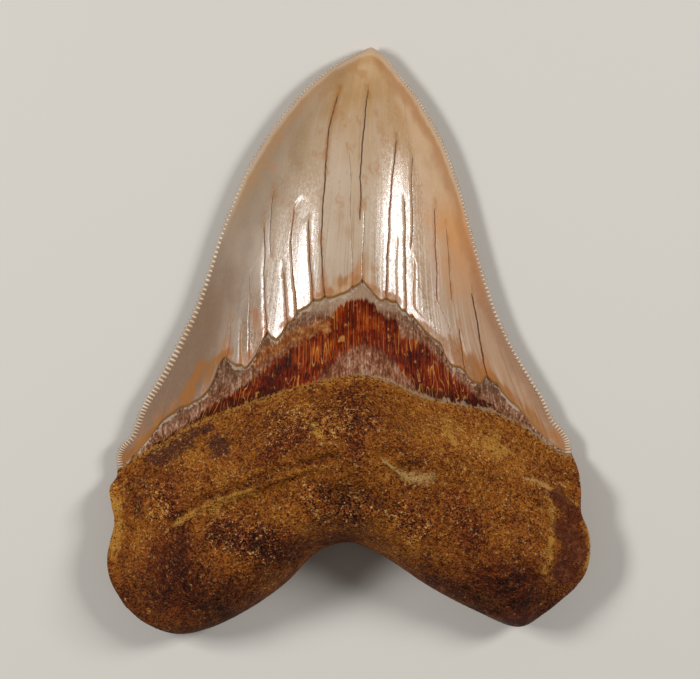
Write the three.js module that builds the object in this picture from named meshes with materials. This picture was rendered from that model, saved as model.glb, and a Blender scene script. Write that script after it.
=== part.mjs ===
// A fossil tooth of the giant shark Otodus megalodon, which grew as one solid piece. It
// lies on its flat labial face, the one that turned to the lips, with the domed lingual
// face up. Sizes are in millimetres: X runs across the tooth, Y from the root to the tip
// and Z up, and the origin is on the resting surface, under the middle of the tooth.
//
// From tip to root the lingual face has a glossy enamel crown, the bourlette (a low band
// of bare dentine in the shape of a chevron) and a thick root with two lobes.

import * as THREE from "three";

// Outline seen from above, one list for each stretch, each point where its bend changes.
const TIP = [5.4, 71.2];
const LEFT_EDGE = [
  TIP, [0.5, 69.1], [-4.6, 66.3], [-11.6, 60.3], [-18.6, 51.6], [-24.2, 42.8],
  [-28.3, 34], [-31.7, 25.3], [-34.6, 16.6], [-37.8, 7.8], [-42, -0.8], [-46.8, -9.6],
  [-50.4, -15.5], [-52, -19.8], [-53.4, -23.2], [-55.6, -25.4], [-56.6, -28.2],
  [-56.2, -31.8],
];
const RIGHT_EDGE = [
  TIP, [8.2, 69.6], [12.2, 65], [17.2, 58.5], [22.9, 48.6], [27.2, 37], [30.4, 25.3],
  [33.8, 13.6], [38.2, 2], [44.8, -9.6], [47.8, -14.5], [49.8, -18.8], [52.2, -21.6],
  [53.9, -24.2], [54.3, -28],
];
const LEFT_ROOT = [
  LEFT_EDGE.at(-1), [-56.4, -33.6], [-58, -35.6], [-57.6, -39.6], [-56.8, -44],
  [-58, -49.4], [-58.6, -53.4], [-57.7, -58.4], [-54.3, -64.4],
];
const RIGHT_ROOT = [
  RIGHT_EDGE.at(-1), [55.6, -31.2], [56.3, -36], [56.4, -42], [58, -46], [58.6, -51],
  [57.4, -56.5], [54.6, -60.4],
];
const BASE = [
  LEFT_ROOT.at(-1), [-49.6, -68.4], [-42, -71.2], [-34.4, -70], [-24.6, -65.4],
  [-15.2, -58.8], [-7.4, -51.2], [0, -49], [7.4, -51.8], [19.7, -59.8], [30.4, -65.4],
  [41.4, -69.5], [47.2, -66.4], RIGHT_ROOT.at(-1),
];

// Lower edge of the lingual enamel, ragged where it has flaked, and top of the root.
const ENAMEL_FOOT = [
  [-56, -31], [-49.8, -25.6], [-43.3, -18.2], [-37.2, -14.7], [-33.3, -10.4],
  [-30.3, -5.7], [-24.5, -6.1], [-19.9, 0.4], [-16.2, 1.1], [-12.1, 6.5], [-6.5, 10.2],
  [-1.2, 11.3], [3.1, 13.6], [7.1, 9.6], [10.2, 9.5], [16.3, 4], [21.4, 0.1],
  [25.2, -5.6], [28.5, -7.3], [31.8, -10.6], [35.2, -11], [39.7, -16.1], [44.4, -20.2],
  [50.6, -25.7], [54, -28],
];
const ROOT_TOP = [
  [-56, -31.8], [-49.8, -27.3], [-45.5, -25.2], [-39.4, -21.3], [-30.3, -17.4],
  [-20.3, -13.9], [-10.8, -10.9], [2.2, -8.3], [9.6, -9.8], [17.6, -13.5],
  [25.5, -15.2], [35.2, -17.3], [42.3, -20.8], [50.6, -26.6], [54, -28.8],
];
// Lower edge of the labial enamel, which reaches further down and has no bourlette.
const LABIAL_FOOT = [
  [-56, -31.4], [-40, -26.5], [-20, -19], [2, -15], [22, -18], [40, -24], [54, -28.4],
];

// Section of the crown: a low dome over an almost flat labial face.
const EDGE_Z = 3.4; // height of the cutting edges
const CREST = 19.5; // height of the dome above them, far from the tip
const CREST_RUN = 38; // distance from the tip in which the dome rises
const CREST_POWER = 0.75; // how roundly it sets off
const DOME_POWER = [0.95, 1.3]; // fullness of the dome at the tip and at the feet
const LABIAL_POWER = 2.2; // how fast the labial face falls away from the cutting edges
const TIP_LIFT = 2.2; // rise of the labial face at the tip
const TIP_LIFT_RUN = 26;

// Bourlette and root.
const ENAMEL_STEP = 0.6; // the enamel stands proud of the bourlette by this
const STEP_RUN = 0.6; // width of that step, seen from above
const BOURLETTE_DIP = 0.8; // hollow across the bourlette
const BOURLETTE_FULL = 8; // where the bourlette is narrower, both are less
const ROOT_EDGE_Z = 8; // height of the root's widest line
const ROOT_ROUND = 13; // rounding of the root's rim on the lingual side
const ROOT_UNDER_ROUND = 9; // and on the labial side
const ROOT_LIP = 0.8; // the root's top edge stands over the bourlette by this
const LIP_RUN = 1; // distance below the root's top in which the lip rises
const ROOT_SWELL = 6; // thickness that the root gains over the crown
const SWELL_RUN = 10; // distance in which it gains it
const RIM_RUN = 7; // distance in which the widest line goes up to the root's height
const ROUND_RUN = 5; // distance in which the rim's rounding sets in
const CONTACT_SINK = 0.3; // the labial bulges are worn flat by this where they rest

// Serrations of the cutting edges: a row of rounded beads with notches between them.
const PITCH = 1;
const NOTCH = 0.45; // depth of each notch
const BEAD_RISE = 0.16; // each bead's rise on both faces, at the first ring
const FINE_TIP = 14; // the serrations fade out over this distance to the tip

// Facets. Inside the outline each face has two rings and then a grid. The rings' distance
// from the outline grows from the first number at the tip to the second along the crown.
const RIM_STEP = 2.6; // spacing of points round the root
const RINGS = [
  { crown: [0.35, 1.2], root: 0.5, keepEvery: 1, beads: 1 },
  { crown: [1, 2.4], root: 2, keepEvery: 4, beads: 0 },
];
const RING_RUN = 6; // distance from the tip in which they get there
const FOOT_RUN = 9; // distance from the feet in which they go over to the root's
const GRID_MARGIN = 4.2; // distance from the outline to the grid
const FIRST_ROW = 0.075; // how far down the cutting edge the grid begins
const LAST_ROW = 0.92; // how far down the root it ends
const CROWDING = 0.35; // 0 spaces the columns evenly, 1 crowds them to the sides
const LINGUAL = { columns: 36, crownRows: 25, bandRows: 3, rootRows: 17 };
const LABIAL = { columns: 20, crownRows: 15, bandRows: 0, rootRows: 8 };

const { clamp, lerp, smoothstep } = THREE.MathUtils;
const curveThrough = (points) =>
  new THREE.CatmullRomCurve3(points.map(([x, y]) => new THREE.Vector3(x, y, 0)));

const leftEdge = curveThrough(LEFT_EDGE);
const rightEdge = curveThrough(RIGHT_EDGE);
const leftRoot = curveThrough(LEFT_ROOT);
const rightRoot = curveThrough(RIGHT_ROOT);
const base = curveThrough(BASE);

// Height of a line given as points with rising x.
function heightAt(line, x) {
  const next = line.findIndex(([px]) => px > x);
  if (next === 0) return line[0][1];
  if (next < 0) return line.at(-1)[1];
  const [x0, y0] = line[next - 1];
  const [x1, y1] = line[next];
  return lerp(y0, y1, (x - x0) / (x1 - x0));
}

// The x of each cutting edge at a height: its points, turned on their side, as a line.
const sideways = (curve) =>
  curve.getSpacedPoints(200).map((p) => [p.y, p.x]).reverse();
const leftSide = sideways(leftEdge);
const rightSide = sideways(rightEdge);

// A round bump or, with a negative height, a hollow.
function bump(x, y, [cx, cy], [rx, ry], height) {
  return height * Math.exp(-(((x - cx) / rx) ** 2) - ((y - cy) / ry) ** 2);
}

// Distance below the root's top edge, measured square to that sloping edge.
const SLOPE_FACTOR = 0.8;
const belowRootTop = (x, y) => (heightAt(ROOT_TOP, x) - y) * SLOPE_FACTOR;

// Distance from the root's own outline, which its rim is rounded by.
const rootSegments = [leftRoot, base, rightRoot].flatMap((curve) => {
  const points = curve.getSpacedPoints(60);
  return points.slice(1).map((end, i) => new THREE.Line3(points[i], end));
});
function fromRootOutline(x, y) {
  const at = new THREE.Vector3(x, y, 0);
  const near = new THREE.Vector3();
  const gaps = rootSegments.map((s) => s.closestPointToPoint(at, true, near).distanceTo(at));
  return Math.min(...gaps);
}
function rounding(distance, radius) {
  return Math.sqrt(1 - (1 - clamp(distance / radius, 0, 1)) ** 2);
}

const rimHeight = (x, y) =>
  lerp(EDGE_Z, ROOT_EDGE_Z, smoothstep(belowRootTop(x, y), 0, RIM_RUN));

// Share of the way from the nearer cutting edge to the middle line, 0 to 1.
function inFromEdge(x, y) {
  const left = heightAt(leftSide, y);
  const right = heightAt(rightSide, y);
  return clamp(1 - Math.abs(2 * x - left - right) / (right - left), 0, 1);
}

// The crown's dome, which goes on under the bourlette and the root as their base.
function dome(x, y) {
  const run = Math.max(0, TIP[1] - y);
  const crest = CREST * (1 - Math.exp(-run / CREST_RUN)) ** CREST_POWER;
  const power = lerp(...DOME_POWER, smoothstep(run, 20, 100));
  return EDGE_Z + crest * Math.sin((Math.PI / 2) * inFromEdge(x, y)) ** power;
}

// Relief of the root's lingual face: the boss in the middle with the nutrient hollow
// below it, a ridge along each lobe, and the ledges and chips of the old surface.
const BOSS = { at: [2, -24], size: [25, 13], height: 5 };
const LOBE_RIDGES = [
  { at: [-42, -54], size: [13, 16], height: 4.5 },
  { at: [44, -52], size: [12, 15], height: 4.5 },
];
const HOLLOWS = [
  { at: [0.8, -37.4], size: [6.5, 3.4], height: -3 },
  { at: [13, -32.4], size: [7, 1.8], height: -1.1 },
  { at: [-27, -41.5], size: [9, 3.5], height: -1.2 },
  { at: [34.5, -65.6], size: [4, 2.2], height: -2 },
  { at: [-30.3, -67], size: [2.4, 2], height: -1.4 },
  { at: [-53, -43.5], size: [4.5, 5], height: -1.6 },
  { at: [51, -42], size: [6, 4.5], height: -1.3 },
];
const LEDGE = { from: [-38, -40.2], to: [-3, -29], drop: 1.3, width: 1.6, fade: 11 };
const LUMP = 0.45; // height of the slow unevenness
const LUMP_WAVE = 11; // and its wavelength

function ledge(x, y) {
  const { from, to, drop, width, fade } = LEDGE;
  const along = (x - from[0]) / (to[0] - from[0]);
  const below = lerp(from[1], to[1], along) - y;
  const ends = smoothstep(along, -0.1, 0.15) * (1 - smoothstep(along, 0.85, 1.1));
  return -drop * ends * smoothstep(below, 0, width) * (1 - smoothstep(below, width, fade));
}

function lumps(x, y) {
  const turn = (2 * Math.PI) / LUMP_WAVE;
  return LUMP * Math.sin(turn * x + 1.3 * Math.sin(0.6 * turn * y)) * Math.cos(0.8 * turn * y);
}

function rootSwell(x, y, below) {
  const features = [BOSS, ...LOBE_RIDGES, ...HOLLOWS];
  const relief = features.reduce((sum, f) => sum + bump(x, y, f.at, f.size, f.height), 0);
  const lip = ROOT_LIP * smoothstep(below, 0, LIP_RUN);
  const share = smoothstep(below, 0, SWELL_RUN);
  return lip + share * (ROOT_SWELL + relief + ledge(x, y) + lumps(x, y));
}

function lingualHeight(x, y) {
  const foot = heightAt(ENAMEL_FOOT, x);
  const top = heightAt(ROOT_TOP, x);
  if (y >= foot) return dome(x, y);
  const across = clamp((foot - y) / (foot - top), 0, 1);
  const fullness = smoothstep(foot - top, 0, BOURLETTE_FULL);
  const step = ENAMEL_STEP * smoothstep(foot - y, 0, STEP_RUN);
  const dip = fullness * (step + BOURLETTE_DIP * Math.sin(Math.PI * across));
  const below = belowRootTop(x, y);
  if (below <= 0) return dome(x, y) - dip;
  const full = dome(x, y) - dip + rootSwell(x, y, below);
  const rim = rimHeight(x, y);
  const round = rounding(fromRootOutline(x, y), ROOT_ROUND);
  return rim + (full - rim) * lerp(1, round, smoothstep(below, 0, ROUND_RUN));
}

// The labial face. Where its bulges would go below the resting surface they are flat.
const BASAL_HOLLOW = { at: [2, -24], size: [20, 9], height: 2 };
function labialHeight(x, y) {
  const rise = (1 - inFromEdge(x, y)) ** LABIAL_POWER;
  const lift = TIP_LIFT * smoothstep(y, TIP[1] - TIP_LIFT_RUN, TIP[1]);
  const crown = lerp(lift, EDGE_Z, rise);
  const under = rimHeight(x, y) * (1 - rounding(fromRootOutline(x, y), ROOT_UNDER_ROUND));
  const share = smoothstep(heightAt(LABIAL_FOOT, x) - y, -1, RIM_RUN);
  const { at, size, height } = BASAL_HOLLOW;
  const relief = bump(x, y, at, size, height) + share * lumps(x + LUMP_WAVE, y);
  return Math.max(0, lerp(crown, under, share) + relief - CONTACT_SINK * (1 - rise));
}

// One stretch of the rim as points, each with the direction square to the outline into
// the tooth. A cutting edge has two for each serration, its bead and the notch after it.
function stretch(curve, { reversed = false, serrated = false }) {
  const length = curve.getLength();
  const count = serrated ? 2 * Math.round(length / PITCH) : Math.round(length / RIM_STEP);
  return Array.from({ length: count }, (_, i) => {
    const at = reversed ? 1 - i / count : i / count;
    const edge = curve.getPointAt(at);
    const ahead = curve.getTangentAt(at).multiplyScalar(reversed ? -1 : 1);
    const inward = new THREE.Vector3(-ahead.y, ahead.x, 0);
    const fromTip = length * at;
    const depth = serrated ? smoothstep(fromTip, 0, FINE_TIP) : 0;
    const point = edge.clone().addScaledVector(inward, i % 2 ? NOTCH * depth : 0);
    const bead = i % 2 ? -depth : depth;
    return { edge, point, inward, bead, serrated, fromTip, fromFoot: length - fromTip };
  });
}

// The rim runs from the tip down the left side, along the base and back up the right.
// Each point's order is the stretch it is in plus its share of that stretch.
function makeRim() {
  const stretches = [
    stretch(leftEdge, { serrated: true }),
    stretch(leftRoot, {}),
    stretch(base, {}),
    stretch(rightRoot, { reversed: true }),
    stretch(rightEdge, { reversed: true, serrated: true }),
  ];
  const rim = stretches.flatMap((points, n) =>
    points.map((p, i) => ({ ...p, order: n + i / points.length })),
  );
  rim[0].inward.set(0, -1, 0);
  return rim;
}

// Distance of a ring from the outline.
function ringInset(ring, { serrated, fromTip, fromFoot }) {
  if (!serrated) return ring.root;
  const crown = lerp(...ring.crown, smoothstep(fromTip, 0, RING_RUN));
  return lerp(ring.root, crown, smoothstep(fromFoot, 0, FOOT_RUN));
}

const onLine = (line, across) => {
  const x = lerp(line[0][0], line.at(-1)[0], across);
  return new THREE.Vector3(x, heightAt(line, x), 0);
};

// The crown's rows are straight at the tip and take the enamel foot's shape on the way.
function crownPoint(foot, across, down) {
  const chord = (share) => leftEdge.getPointAt(share).lerp(rightEdge.getPointAt(share), across);
  const bend = onLine(foot, across).sub(chord(1));
  return chord(down).addScaledVector(bend, down ** 1.5);
}

// The bourlette's first row lies at the bottom of the enamel's step.
function bandPoint(foot, top, across, down) {
  const upper = onLine(foot, across);
  const lower = onLine(top, across);
  const step = Math.min(STEP_RUN, 0.3 * (upper.y - lower.y));
  upper.y -= step;
  return upper.lerp(lower, down);
}

// How far a curve has bent away from its chord, at a share of its length.
function bendOf(curve, share) {
  const chord = curve.getPointAt(0).lerp(curve.getPointAt(1), share);
  return curve.getPointAt(share).sub(chord);
}

function rootPoint(top, across, down) {
  const chord = onLine(top, across).lerp(base.getPointAt(across), down);
  return chord.add(bendOf(leftRoot, down).lerp(bendOf(rightRoot, down), across));
}

// The rows of a face's inner grid, with the order of each row's ends along the rim.
function makeRows(face) {
  const { foot, top, crownRows, bandRows, rootRows } = face;
  const rows = [];
  for (let j = 0; j < crownRows; j++) {
    const down = lerp(FIRST_ROW, 1, j / crownRows);
    rows.push({ order: down, at: (a) => crownPoint(foot, a, down) });
  }
  rows.push({ order: 1, at: (a) => onLine(foot, a) });
  for (let j = 0; j < bandRows; j++) {
    rows.push({ order: 1, at: (a) => bandPoint(foot, top, a, j / (bandRows - 1)) });
  }
  for (let j = 1; j <= rootRows; j++) {
    const down = (LAST_ROW * j) / rootRows;
    rows.push({ order: 1 + down, at: (a) => rootPoint(top, a, down) });
  }
  return rows;
}

// Columns keep clear of the rim and crowd a little towards it, where the face bends.
function columnShare(i, columns, margin) {
  const even = i / columns;
  const crowded = 0.5 - 0.5 * Math.cos(Math.PI * even);
  return lerp(margin, 1 - margin, lerp(even, crowded, CROWDING));
}

const positions = [];
const triangles = [];
function addVertex(x, y, z) {
  positions.push(x, y, z);
  return positions.length / 3 - 1;
}

// Joins two closed rings of vertices, each sorted by order, with one strip.
function zip(outer, inner, faceUp) {
  let [i, j] = [0, 0];
  const orderOf = (ring, k) => ring[k % ring.length].order + (k >= ring.length ? 5 : 0);
  const vertex = (ring, k) => ring[k % ring.length].vertex;
  while (i < outer.length || j < inner.length) {
    const stepOuter =
      j === inner.length || (i < outer.length && orderOf(outer, i + 1) <= orderOf(inner, j + 1));
    const [a, b] = [vertex(outer, i), vertex(inner, j)];
    const c = stepOuter ? vertex(outer, ++i) : vertex(inner, ++j);
    triangles.push(...(faceUp ? [a, c, b] : [a, b, c]));
  }
}

// One face: the rings inside the rim, the grid, and the strips between them.
function addFace(rim, face, height, faceUp) {
  const side = faceUp ? 1 : -1;
  const rings = RINGS.map((ring) => {
    const kept = rim.filter(({ serrated }, i) => !serrated || i % ring.keepEvery === 0);
    return kept.map((p) => {
      const { x, y } = p.edge.clone().addScaledVector(p.inward, ringInset(ring, p));
      const rise = side * BEAD_RISE * p.bead * ring.beads;
      return { order: p.order, vertex: addVertex(x, y, height(x, y) + rise) };
    });
  });
  const grid = makeRows(face).map(({ order, at }) => {
    const margin = GRID_MARGIN / at(0).distanceTo(at(1));
    const vertices = Array.from({ length: face.columns + 1 }, (_, i) => {
      const { x, y } = at(columnShare(i, face.columns, margin));
      return addVertex(x, y, height(x, y));
    });
    return { order, vertices };
  });
  const [first, last] = [grid[0].vertices, grid.at(-1).vertices];
  const border = [
    ...grid.map(({ order, vertices }) => ({ order, vertex: vertices[0] })),
    ...last.slice(1, -1).map((vertex, i) => ({ order: 2 + (i + 1) / face.columns, vertex })),
    ...grid.map(({ order, vertices }) => ({ order: 5 - order, vertex: vertices.at(-1) })).reverse(),
    ...first.slice(1, -1).map((vertex) => ({ order: 5, vertex })).reverse(),
  ];
  const loops = [rim, ...rings, border];
  for (let k = 1; k < loops.length; k++) zip(loops[k - 1], loops[k], faceUp);
  for (let j = 1; j < grid.length; j++) {
    for (let i = 1; i <= face.columns; i++) {
      const [a, b] = [grid[j - 1].vertices[i - 1], grid[j - 1].vertices[i]];
      const [c, d] = [grid[j].vertices[i - 1], grid[j].vertices[i]];
      triangles.push(...(faceUp ? [a, c, b, b, c, d] : [a, b, c, b, d, c]));
    }
  }
}

function toothGeometry() {
  const rim = makeRim();
  for (const p of rim) {
    const { x, y } = p.point;
    p.vertex = addVertex(x, y, rimHeight(x, y));
  }
  addFace(rim, { ...LINGUAL, foot: ENAMEL_FOOT, top: ROOT_TOP }, lingualHeight, true);
  addFace(rim, { ...LABIAL, foot: LABIAL_FOOT, top: LABIAL_FOOT }, labialHeight, false);
  const geometry = new THREE.BufferGeometry();
  geometry.setAttribute("position", new THREE.Float32BufferAttribute(positions, 3));
  geometry.setIndex(triangles);
  geometry.computeBoundingBox();
  const { min, max } = geometry.boundingBox;
  geometry.translate(-(min.x + max.x) / 2, -(min.y + max.y) / 2, -min.z);
  geometry.computeVertexNormals();
  return geometry;
}

const tooth = new THREE.Mesh(
  toothGeometry(),
  new THREE.MeshStandardMaterial({ color: 0xa88a6c, roughness: 0.45, metalness: 0 }),
);
tooth.name = "tooth";

const fossil = new THREE.Group();
fossil.add(tooth);

export default fossil;
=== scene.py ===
import math

import bpy
import numpy as np
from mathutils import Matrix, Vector


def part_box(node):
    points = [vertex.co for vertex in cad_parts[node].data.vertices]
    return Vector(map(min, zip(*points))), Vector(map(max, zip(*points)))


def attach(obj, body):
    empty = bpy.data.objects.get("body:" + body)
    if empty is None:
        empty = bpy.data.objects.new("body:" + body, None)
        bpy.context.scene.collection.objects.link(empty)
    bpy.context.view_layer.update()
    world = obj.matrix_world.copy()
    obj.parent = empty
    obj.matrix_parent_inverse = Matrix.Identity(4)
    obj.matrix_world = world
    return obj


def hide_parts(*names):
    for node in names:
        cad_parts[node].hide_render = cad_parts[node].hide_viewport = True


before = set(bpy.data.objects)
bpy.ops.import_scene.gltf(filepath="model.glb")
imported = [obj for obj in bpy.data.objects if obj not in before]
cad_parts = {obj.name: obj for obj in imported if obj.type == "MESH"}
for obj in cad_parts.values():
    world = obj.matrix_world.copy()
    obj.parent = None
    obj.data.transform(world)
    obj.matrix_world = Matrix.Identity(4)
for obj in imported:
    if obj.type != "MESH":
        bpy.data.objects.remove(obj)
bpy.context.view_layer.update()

# Crown. A cap of enameloid, the glossy enamel that sharks grow, over a core of dentine. It is
# a low dome between two cutting edges that meet at the tip. Drying has split it with fine
# cracks down its length, and at its foot the enamel ends in a ragged, broken edge.
MM = 0.001  # lengths are in mm here, and in metres in the frame
TIP = (5.4, 71.2)
LEFT_CORNER = (-56.2, -31.8)  # where a cutting edge, the enamel's foot and the root meet
RIGHT_CORNER = (54.3, -28)
LEFT_EDGE = [
    TIP, (0.5, 69.1), (-4.6, 66.3), (-11.6, 60.3), (-18.6, 51.6), (-24.2, 42.8), (-28.3, 34),
    (-31.7, 25.3), (-34.6, 16.6), (-37.8, 7.8), (-42, -0.8), (-46.8, -9.6), (-50.4, -15.5),
    (-52, -19.8), (-53.4, -23.2), (-55.6, -25.4), (-56.6, -28.2), LEFT_CORNER,
]
RIGHT_EDGE = [
    TIP, (8.2, 69.6), (12.2, 65), (17.2, 58.5), (22.9, 48.6), (27.2, 37), (30.4, 25.3),
    (33.8, 13.6), (38.2, 2), (44.8, -9.6), (47.8, -14.5), (49.8, -18.8), (52.2, -21.6),
    (53.9, -24.2), RIGHT_CORNER,
]
ENAMEL_FOOT = [
    LEFT_CORNER, (-52.1, -27.3), (-47.7, -22.8), (-43.9, -18), (-40.7, -16.1), (-36.4, -14.2),
    (-33.2, -10.3), (-31.3, -5.7), (-29.9, -4.2), (-27.5, -5.8), (-24.4, -6), (-22.5, -3.1),
    (-19.9, 0.9), (-17.7, -0.1), (-14.9, 3.5), (-12.4, 6.2), (-6.5, 10.2), (-1.2, 11.3),
    (3.1, 13.7), (5.1, 12.1), (7.6, 9.7), (11.2, 9.4), (13.6, 6.7), (17.5, 3.1), (20.2, 0.6),
    (22.2, -0.9), (23.1, -3.1), (24.9, -5.6), (27.4, -6.4), (29.4, -9.2), (31.9, -10.4),
    (33.2, -8.6), (34.8, -9.9), (38.5, -14), (42.5, -17.6), (45.1, -20.7), (50.4, -25.6),
    RIGHT_CORNER,
]
LABIAL_FOOT = [
    LEFT_CORNER, (-40, -26.5), (-20, -19), (2, -15), (22, -18), (40, -24), RIGHT_CORNER,
]
EDGE_Z = 3.4
CREST = 19.5
CREST_RUN = 38
CREST_POWER = 0.75
DOME_POWER = (0.95, 1.3)  # of the section near the tip, and of the sharper one at the foot
DOME_TURN = (20, 100)  # where the one goes over to the other, from the tip
NOTCH = 0.6
FINE_TIP = 14
ENAMEL_CHIPS = ((4.5, 0.35), (1.7, 0.3), (0.7, 0.16))  # spacing and height
CHIP_SEED = 4
# Each crack from its top down, with its width, how dark it is, and by how many degrees the
# strip of enamel on its right leans to the right.
CRACKS = [
    ([(-28.4, 6), (-28.6, 3), (-29.2, -3.1), (-30, -6)], 0.26, 0.72, -2),
    ([(-26, 5.6), (-26, -3.9), (-26, -6)], 0.21, 0.65, -3),
    ([(-24, 17.7), (-23.9, 4.3), (-23.9, -5)], 0.26, 0.75, -3),
    ([(-20.6, 29.7), (-20.3, 20.1), (-20.5, 15.3), (-19.6, 0)], 0.34, 0.93, 3),
    ([(-18.1, 37.9), (-18.7, 32.1), (-19, 25.9), (-18.9, 20.1)], 0.3, 0.85, 1),
    ([(-16.2, 20), (-15.5, 12.9), (-14.8, 3)], 0.3, 0.9, -1),
    ([(-12.9, 33.6), (-13.8, 25.9), (-13.8, 20.1), (-13.1, 12.9), (-12.4, 6)], 0.36, 0.95, -4),
    ([(-9.6, 31.2), (-9.6, 23.5), (-9.2, 17.7), (-8.5, 8)], 0.36, 0.95, -3),
    ([(-2.1, 61.4), (-4.7, 51.3), (-5.7, 39.3), (-6.6, 24.9), (-6.4, 17.7), (-5.8, 10)],
     0.51, 1, -1),
    ([(-0.4, 47.5), (0.5, 41.7), (0.4, 34.5), (0.5, 27.3), (0.9, 17.7), (0.8, 12)], 0.26, 0.75, 1),
    ([(4.9, 62.6), (3.9, 53.7), (2.8, 39.8), (2.9, 36.9), (2.7, 28.5)], 0.47, 1, -0.5),
    ([(3.9, 33.1), (3.7, 27.3), (3.3, 19.2), (3.2, 12.5)], 0.3, 0.8, -0.5),
    ([(11.9, 50.4), (11.1, 44.1), (9.9, 32.1), (9.6, 24.9), (9.2, 18.7), (9, 10)], 0.42, 0.97, 3),
    ([(11.9, 26.5), (11.3, 17.7), (11.4, 9)], 0.26, 0.75, 1),
    ([(13.5, 36), (13.6, 27.3), (13.6, 22.5), (13.8, 10.5), (13.8, 6)], 0.34, 0.93, -1.5),
    ([(15.5, 46.5), (15.4, 41.7), (15.3, 34.5), (15.6, 29.7), (15, 21.6)], 0.34, 0.9, 1.5),
    ([(15.8, 21.1), (15.6, 12.9), (15.6, 8)], 0.24, 0.8, 2.5),
    ([(20.9, 34), (20.9, 23.5), (21.2, 18.7), (21.3, 9)], 0.32, 0.88, 2),
    ([(23.7, 29.2), (24.4, 17.7), (24.9, 9)], 0.3, 0.82, 2.5),
    ([(26.6, 4.8), (27, 0.7), (27.6, -4.4), (28.5, -9)], 0.38, 0.9, 1.5),
    ([(29.5, 13.2), (30.6, 7.4), (32.2, -2.2), (32.9, -6.4), (34.7, -10.6), (36, -13)],
     0.59, 1, 0),
]
CRACK_DEPTH = 0.08
CRACK_TOP_FADE = 3
CRACK_FOOT_FADE = (-0.5, 1)
CRACK_WAVER = ((2.3, 0.03), (0.7, 0.06))  # turns for each mm and reach
FOOT_NOTCH = (0.9, 0.7)  # how high and how wide the enamel's foot is broken at a crack
# Rust that has crept under the enamel, each stain a line with its half width.
RUST = [
    ([(-55, -29.4), (-47, -21.8), (-41, -15.8)], 1.3),
    ([(-39.6, -14), (-37, -10.6), (-34.4, -6.4)], 2.3),
    ([(-31.4, -4.6), (-29, -2.6)], 1.2),
    ([(-25.4, -5.4), (-24.2, -3.6)], 1.6),
    ([(-22.6, 7), (-22.2, 3)], 1),
    ([(-20.8, 1.6), (-19.4, 0.4)], 1.3),
    ([(-15.8, 3.4), (-14.2, 5)], 1),
    ([(-7, 10.8), (-4.6, 11.6)], 1.1),
    ([(-0.9, 14), (1.8, 15)], 1.7),
    ([(4.5, 13), (8.6, 10.8), (12, 9.4)], 1.3),
    ([(17, 3.8), (21.6, 0.4)], 1.5),
    ([(23.8, -1), (26.8, -5)], 2.8),
    ([(28.6, -5), (31, -9.4)], 2.7),
    ([(33.4, -8.8), (38.5, -13.2), (43, -17.4), (49, -23.6)], 1.5),
]
# The crown's mesh follows these smoother lines, and only its first columns take the turns
# of the cutting edges themselves.
INNER_LEFT = [TIP, (-18.6, 51.6), (-31.7, 25.3), (-42, -0.8), (-50, -16), LEFT_CORNER]
INNER_RIGHT = [TIP, (22.9, 48.6), (30.4, 25.3), (38.2, 2), (46.5, -13), RIGHT_CORNER]
EDGE_GRIP = 24
FOOT_GRIP = 1.5
COLUMNS = 190
COLUMNS_APART = 5  # the fewest from a crack to the next
CHOSEN_ROW = 0.72  # how far down the crown the columns of the cracks are chosen
# As shares of a row: the most that half a crack takes, and the gap that it keeps to the next.
WIDEST_HALF = 0.006
CRACK_GAP = 0.0015
JUST_OPEN = 0.05  # a crack this open no longer strays from its own line
GIVE = 1.02  # how readily a closed crack gives way to its neighbour, and an open one 1 less


def curve_through(points, steps=16):
    """Points of a centripetal Catmull-Rom curve through the given ones."""
    p = np.array(points, float)
    p = np.vstack([2 * p[0] - p[1], p, 2 * p[-1] - p[-2]])
    gaps = np.linalg.norm(np.diff(p, axis=0), axis=1) ** 0.5
    t = np.linspace(0, 1, steps, endpoint=False)[:, None]
    stretches = []
    for k in range(1, len(p) - 2):
        before, here, after = gaps[k - 1 : k + 2]
        step = p[k + 1] - p[k]
        leave = (p[k] - p[k - 1]) / before - (p[k + 1] - p[k - 1]) / (before + here)
        arrive = (p[k + 2] - p[k + 1]) / after - (p[k + 2] - p[k]) / (here + after)
        stretches.append(
            (2 * t**3 - 3 * t**2 + 1) * p[k]
            + (t**3 - 2 * t**2 + t) * (step + here * leave)
            + (3 * t**2 - 2 * t**3) * p[k + 1]
            + (t**3 - t**2) * (step + here * arrive)
        )
    return np.vstack(stretches + [p[-2:-1]])


def run_along(line):
    """Distance of each of a line's points from its start."""
    return np.append(0, np.cumsum(np.linalg.norm(np.diff(line, axis=0), axis=1)))


def along(line, share):
    """The points at shares of a line's length."""
    run = run_along(line)
    at = np.asarray(share) * run[-1]
    return np.stack([np.interp(at, run, line[:, k]) for k in range(2)], axis=-1)


def height_at(line, x):
    return np.interp(x, line[:, 0], line[:, 1])


def on_line(line, share):
    """The points of a line that runs in x, at shares of its width."""
    x = line[0, 0] + (line[-1, 0] - line[0, 0]) * share
    return np.stack([x, height_at(line, x)], axis=-1)


def smooth(value, start, end):
    share = np.clip((value - start) / (end - start), 0, 1)
    return share * share * (3 - 2 * share)


def blend(start, end, share):
    return start + (end - start) * share


def distance_to(line, x, y):
    """Distance of points from a line of short straight stretches."""
    nearest = np.full(x.shape, np.inf)
    for (ax, ay), (bx, by) in zip(line[:-1], line[1:]):
        dx, dy = bx - ax, by - ay
        share = np.clip(((x - ax) * dx + (y - ay) * dy) / (dx * dx + dy * dy + 1e-12), 0, 1)
        nearest = np.minimum(nearest, np.hypot(x - ax - share * dx, y - ay - share * dy))
    return nearest


def inward_of(line, side):
    """Unit vectors square to a line, to its left for side 1 and to its right for side -1."""
    ahead = np.gradient(line, axis=0)
    square = np.stack([-ahead[:, 1], ahead[:, 0]], axis=-1)
    return side * square / np.linalg.norm(square, axis=1)[:, None]


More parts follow.
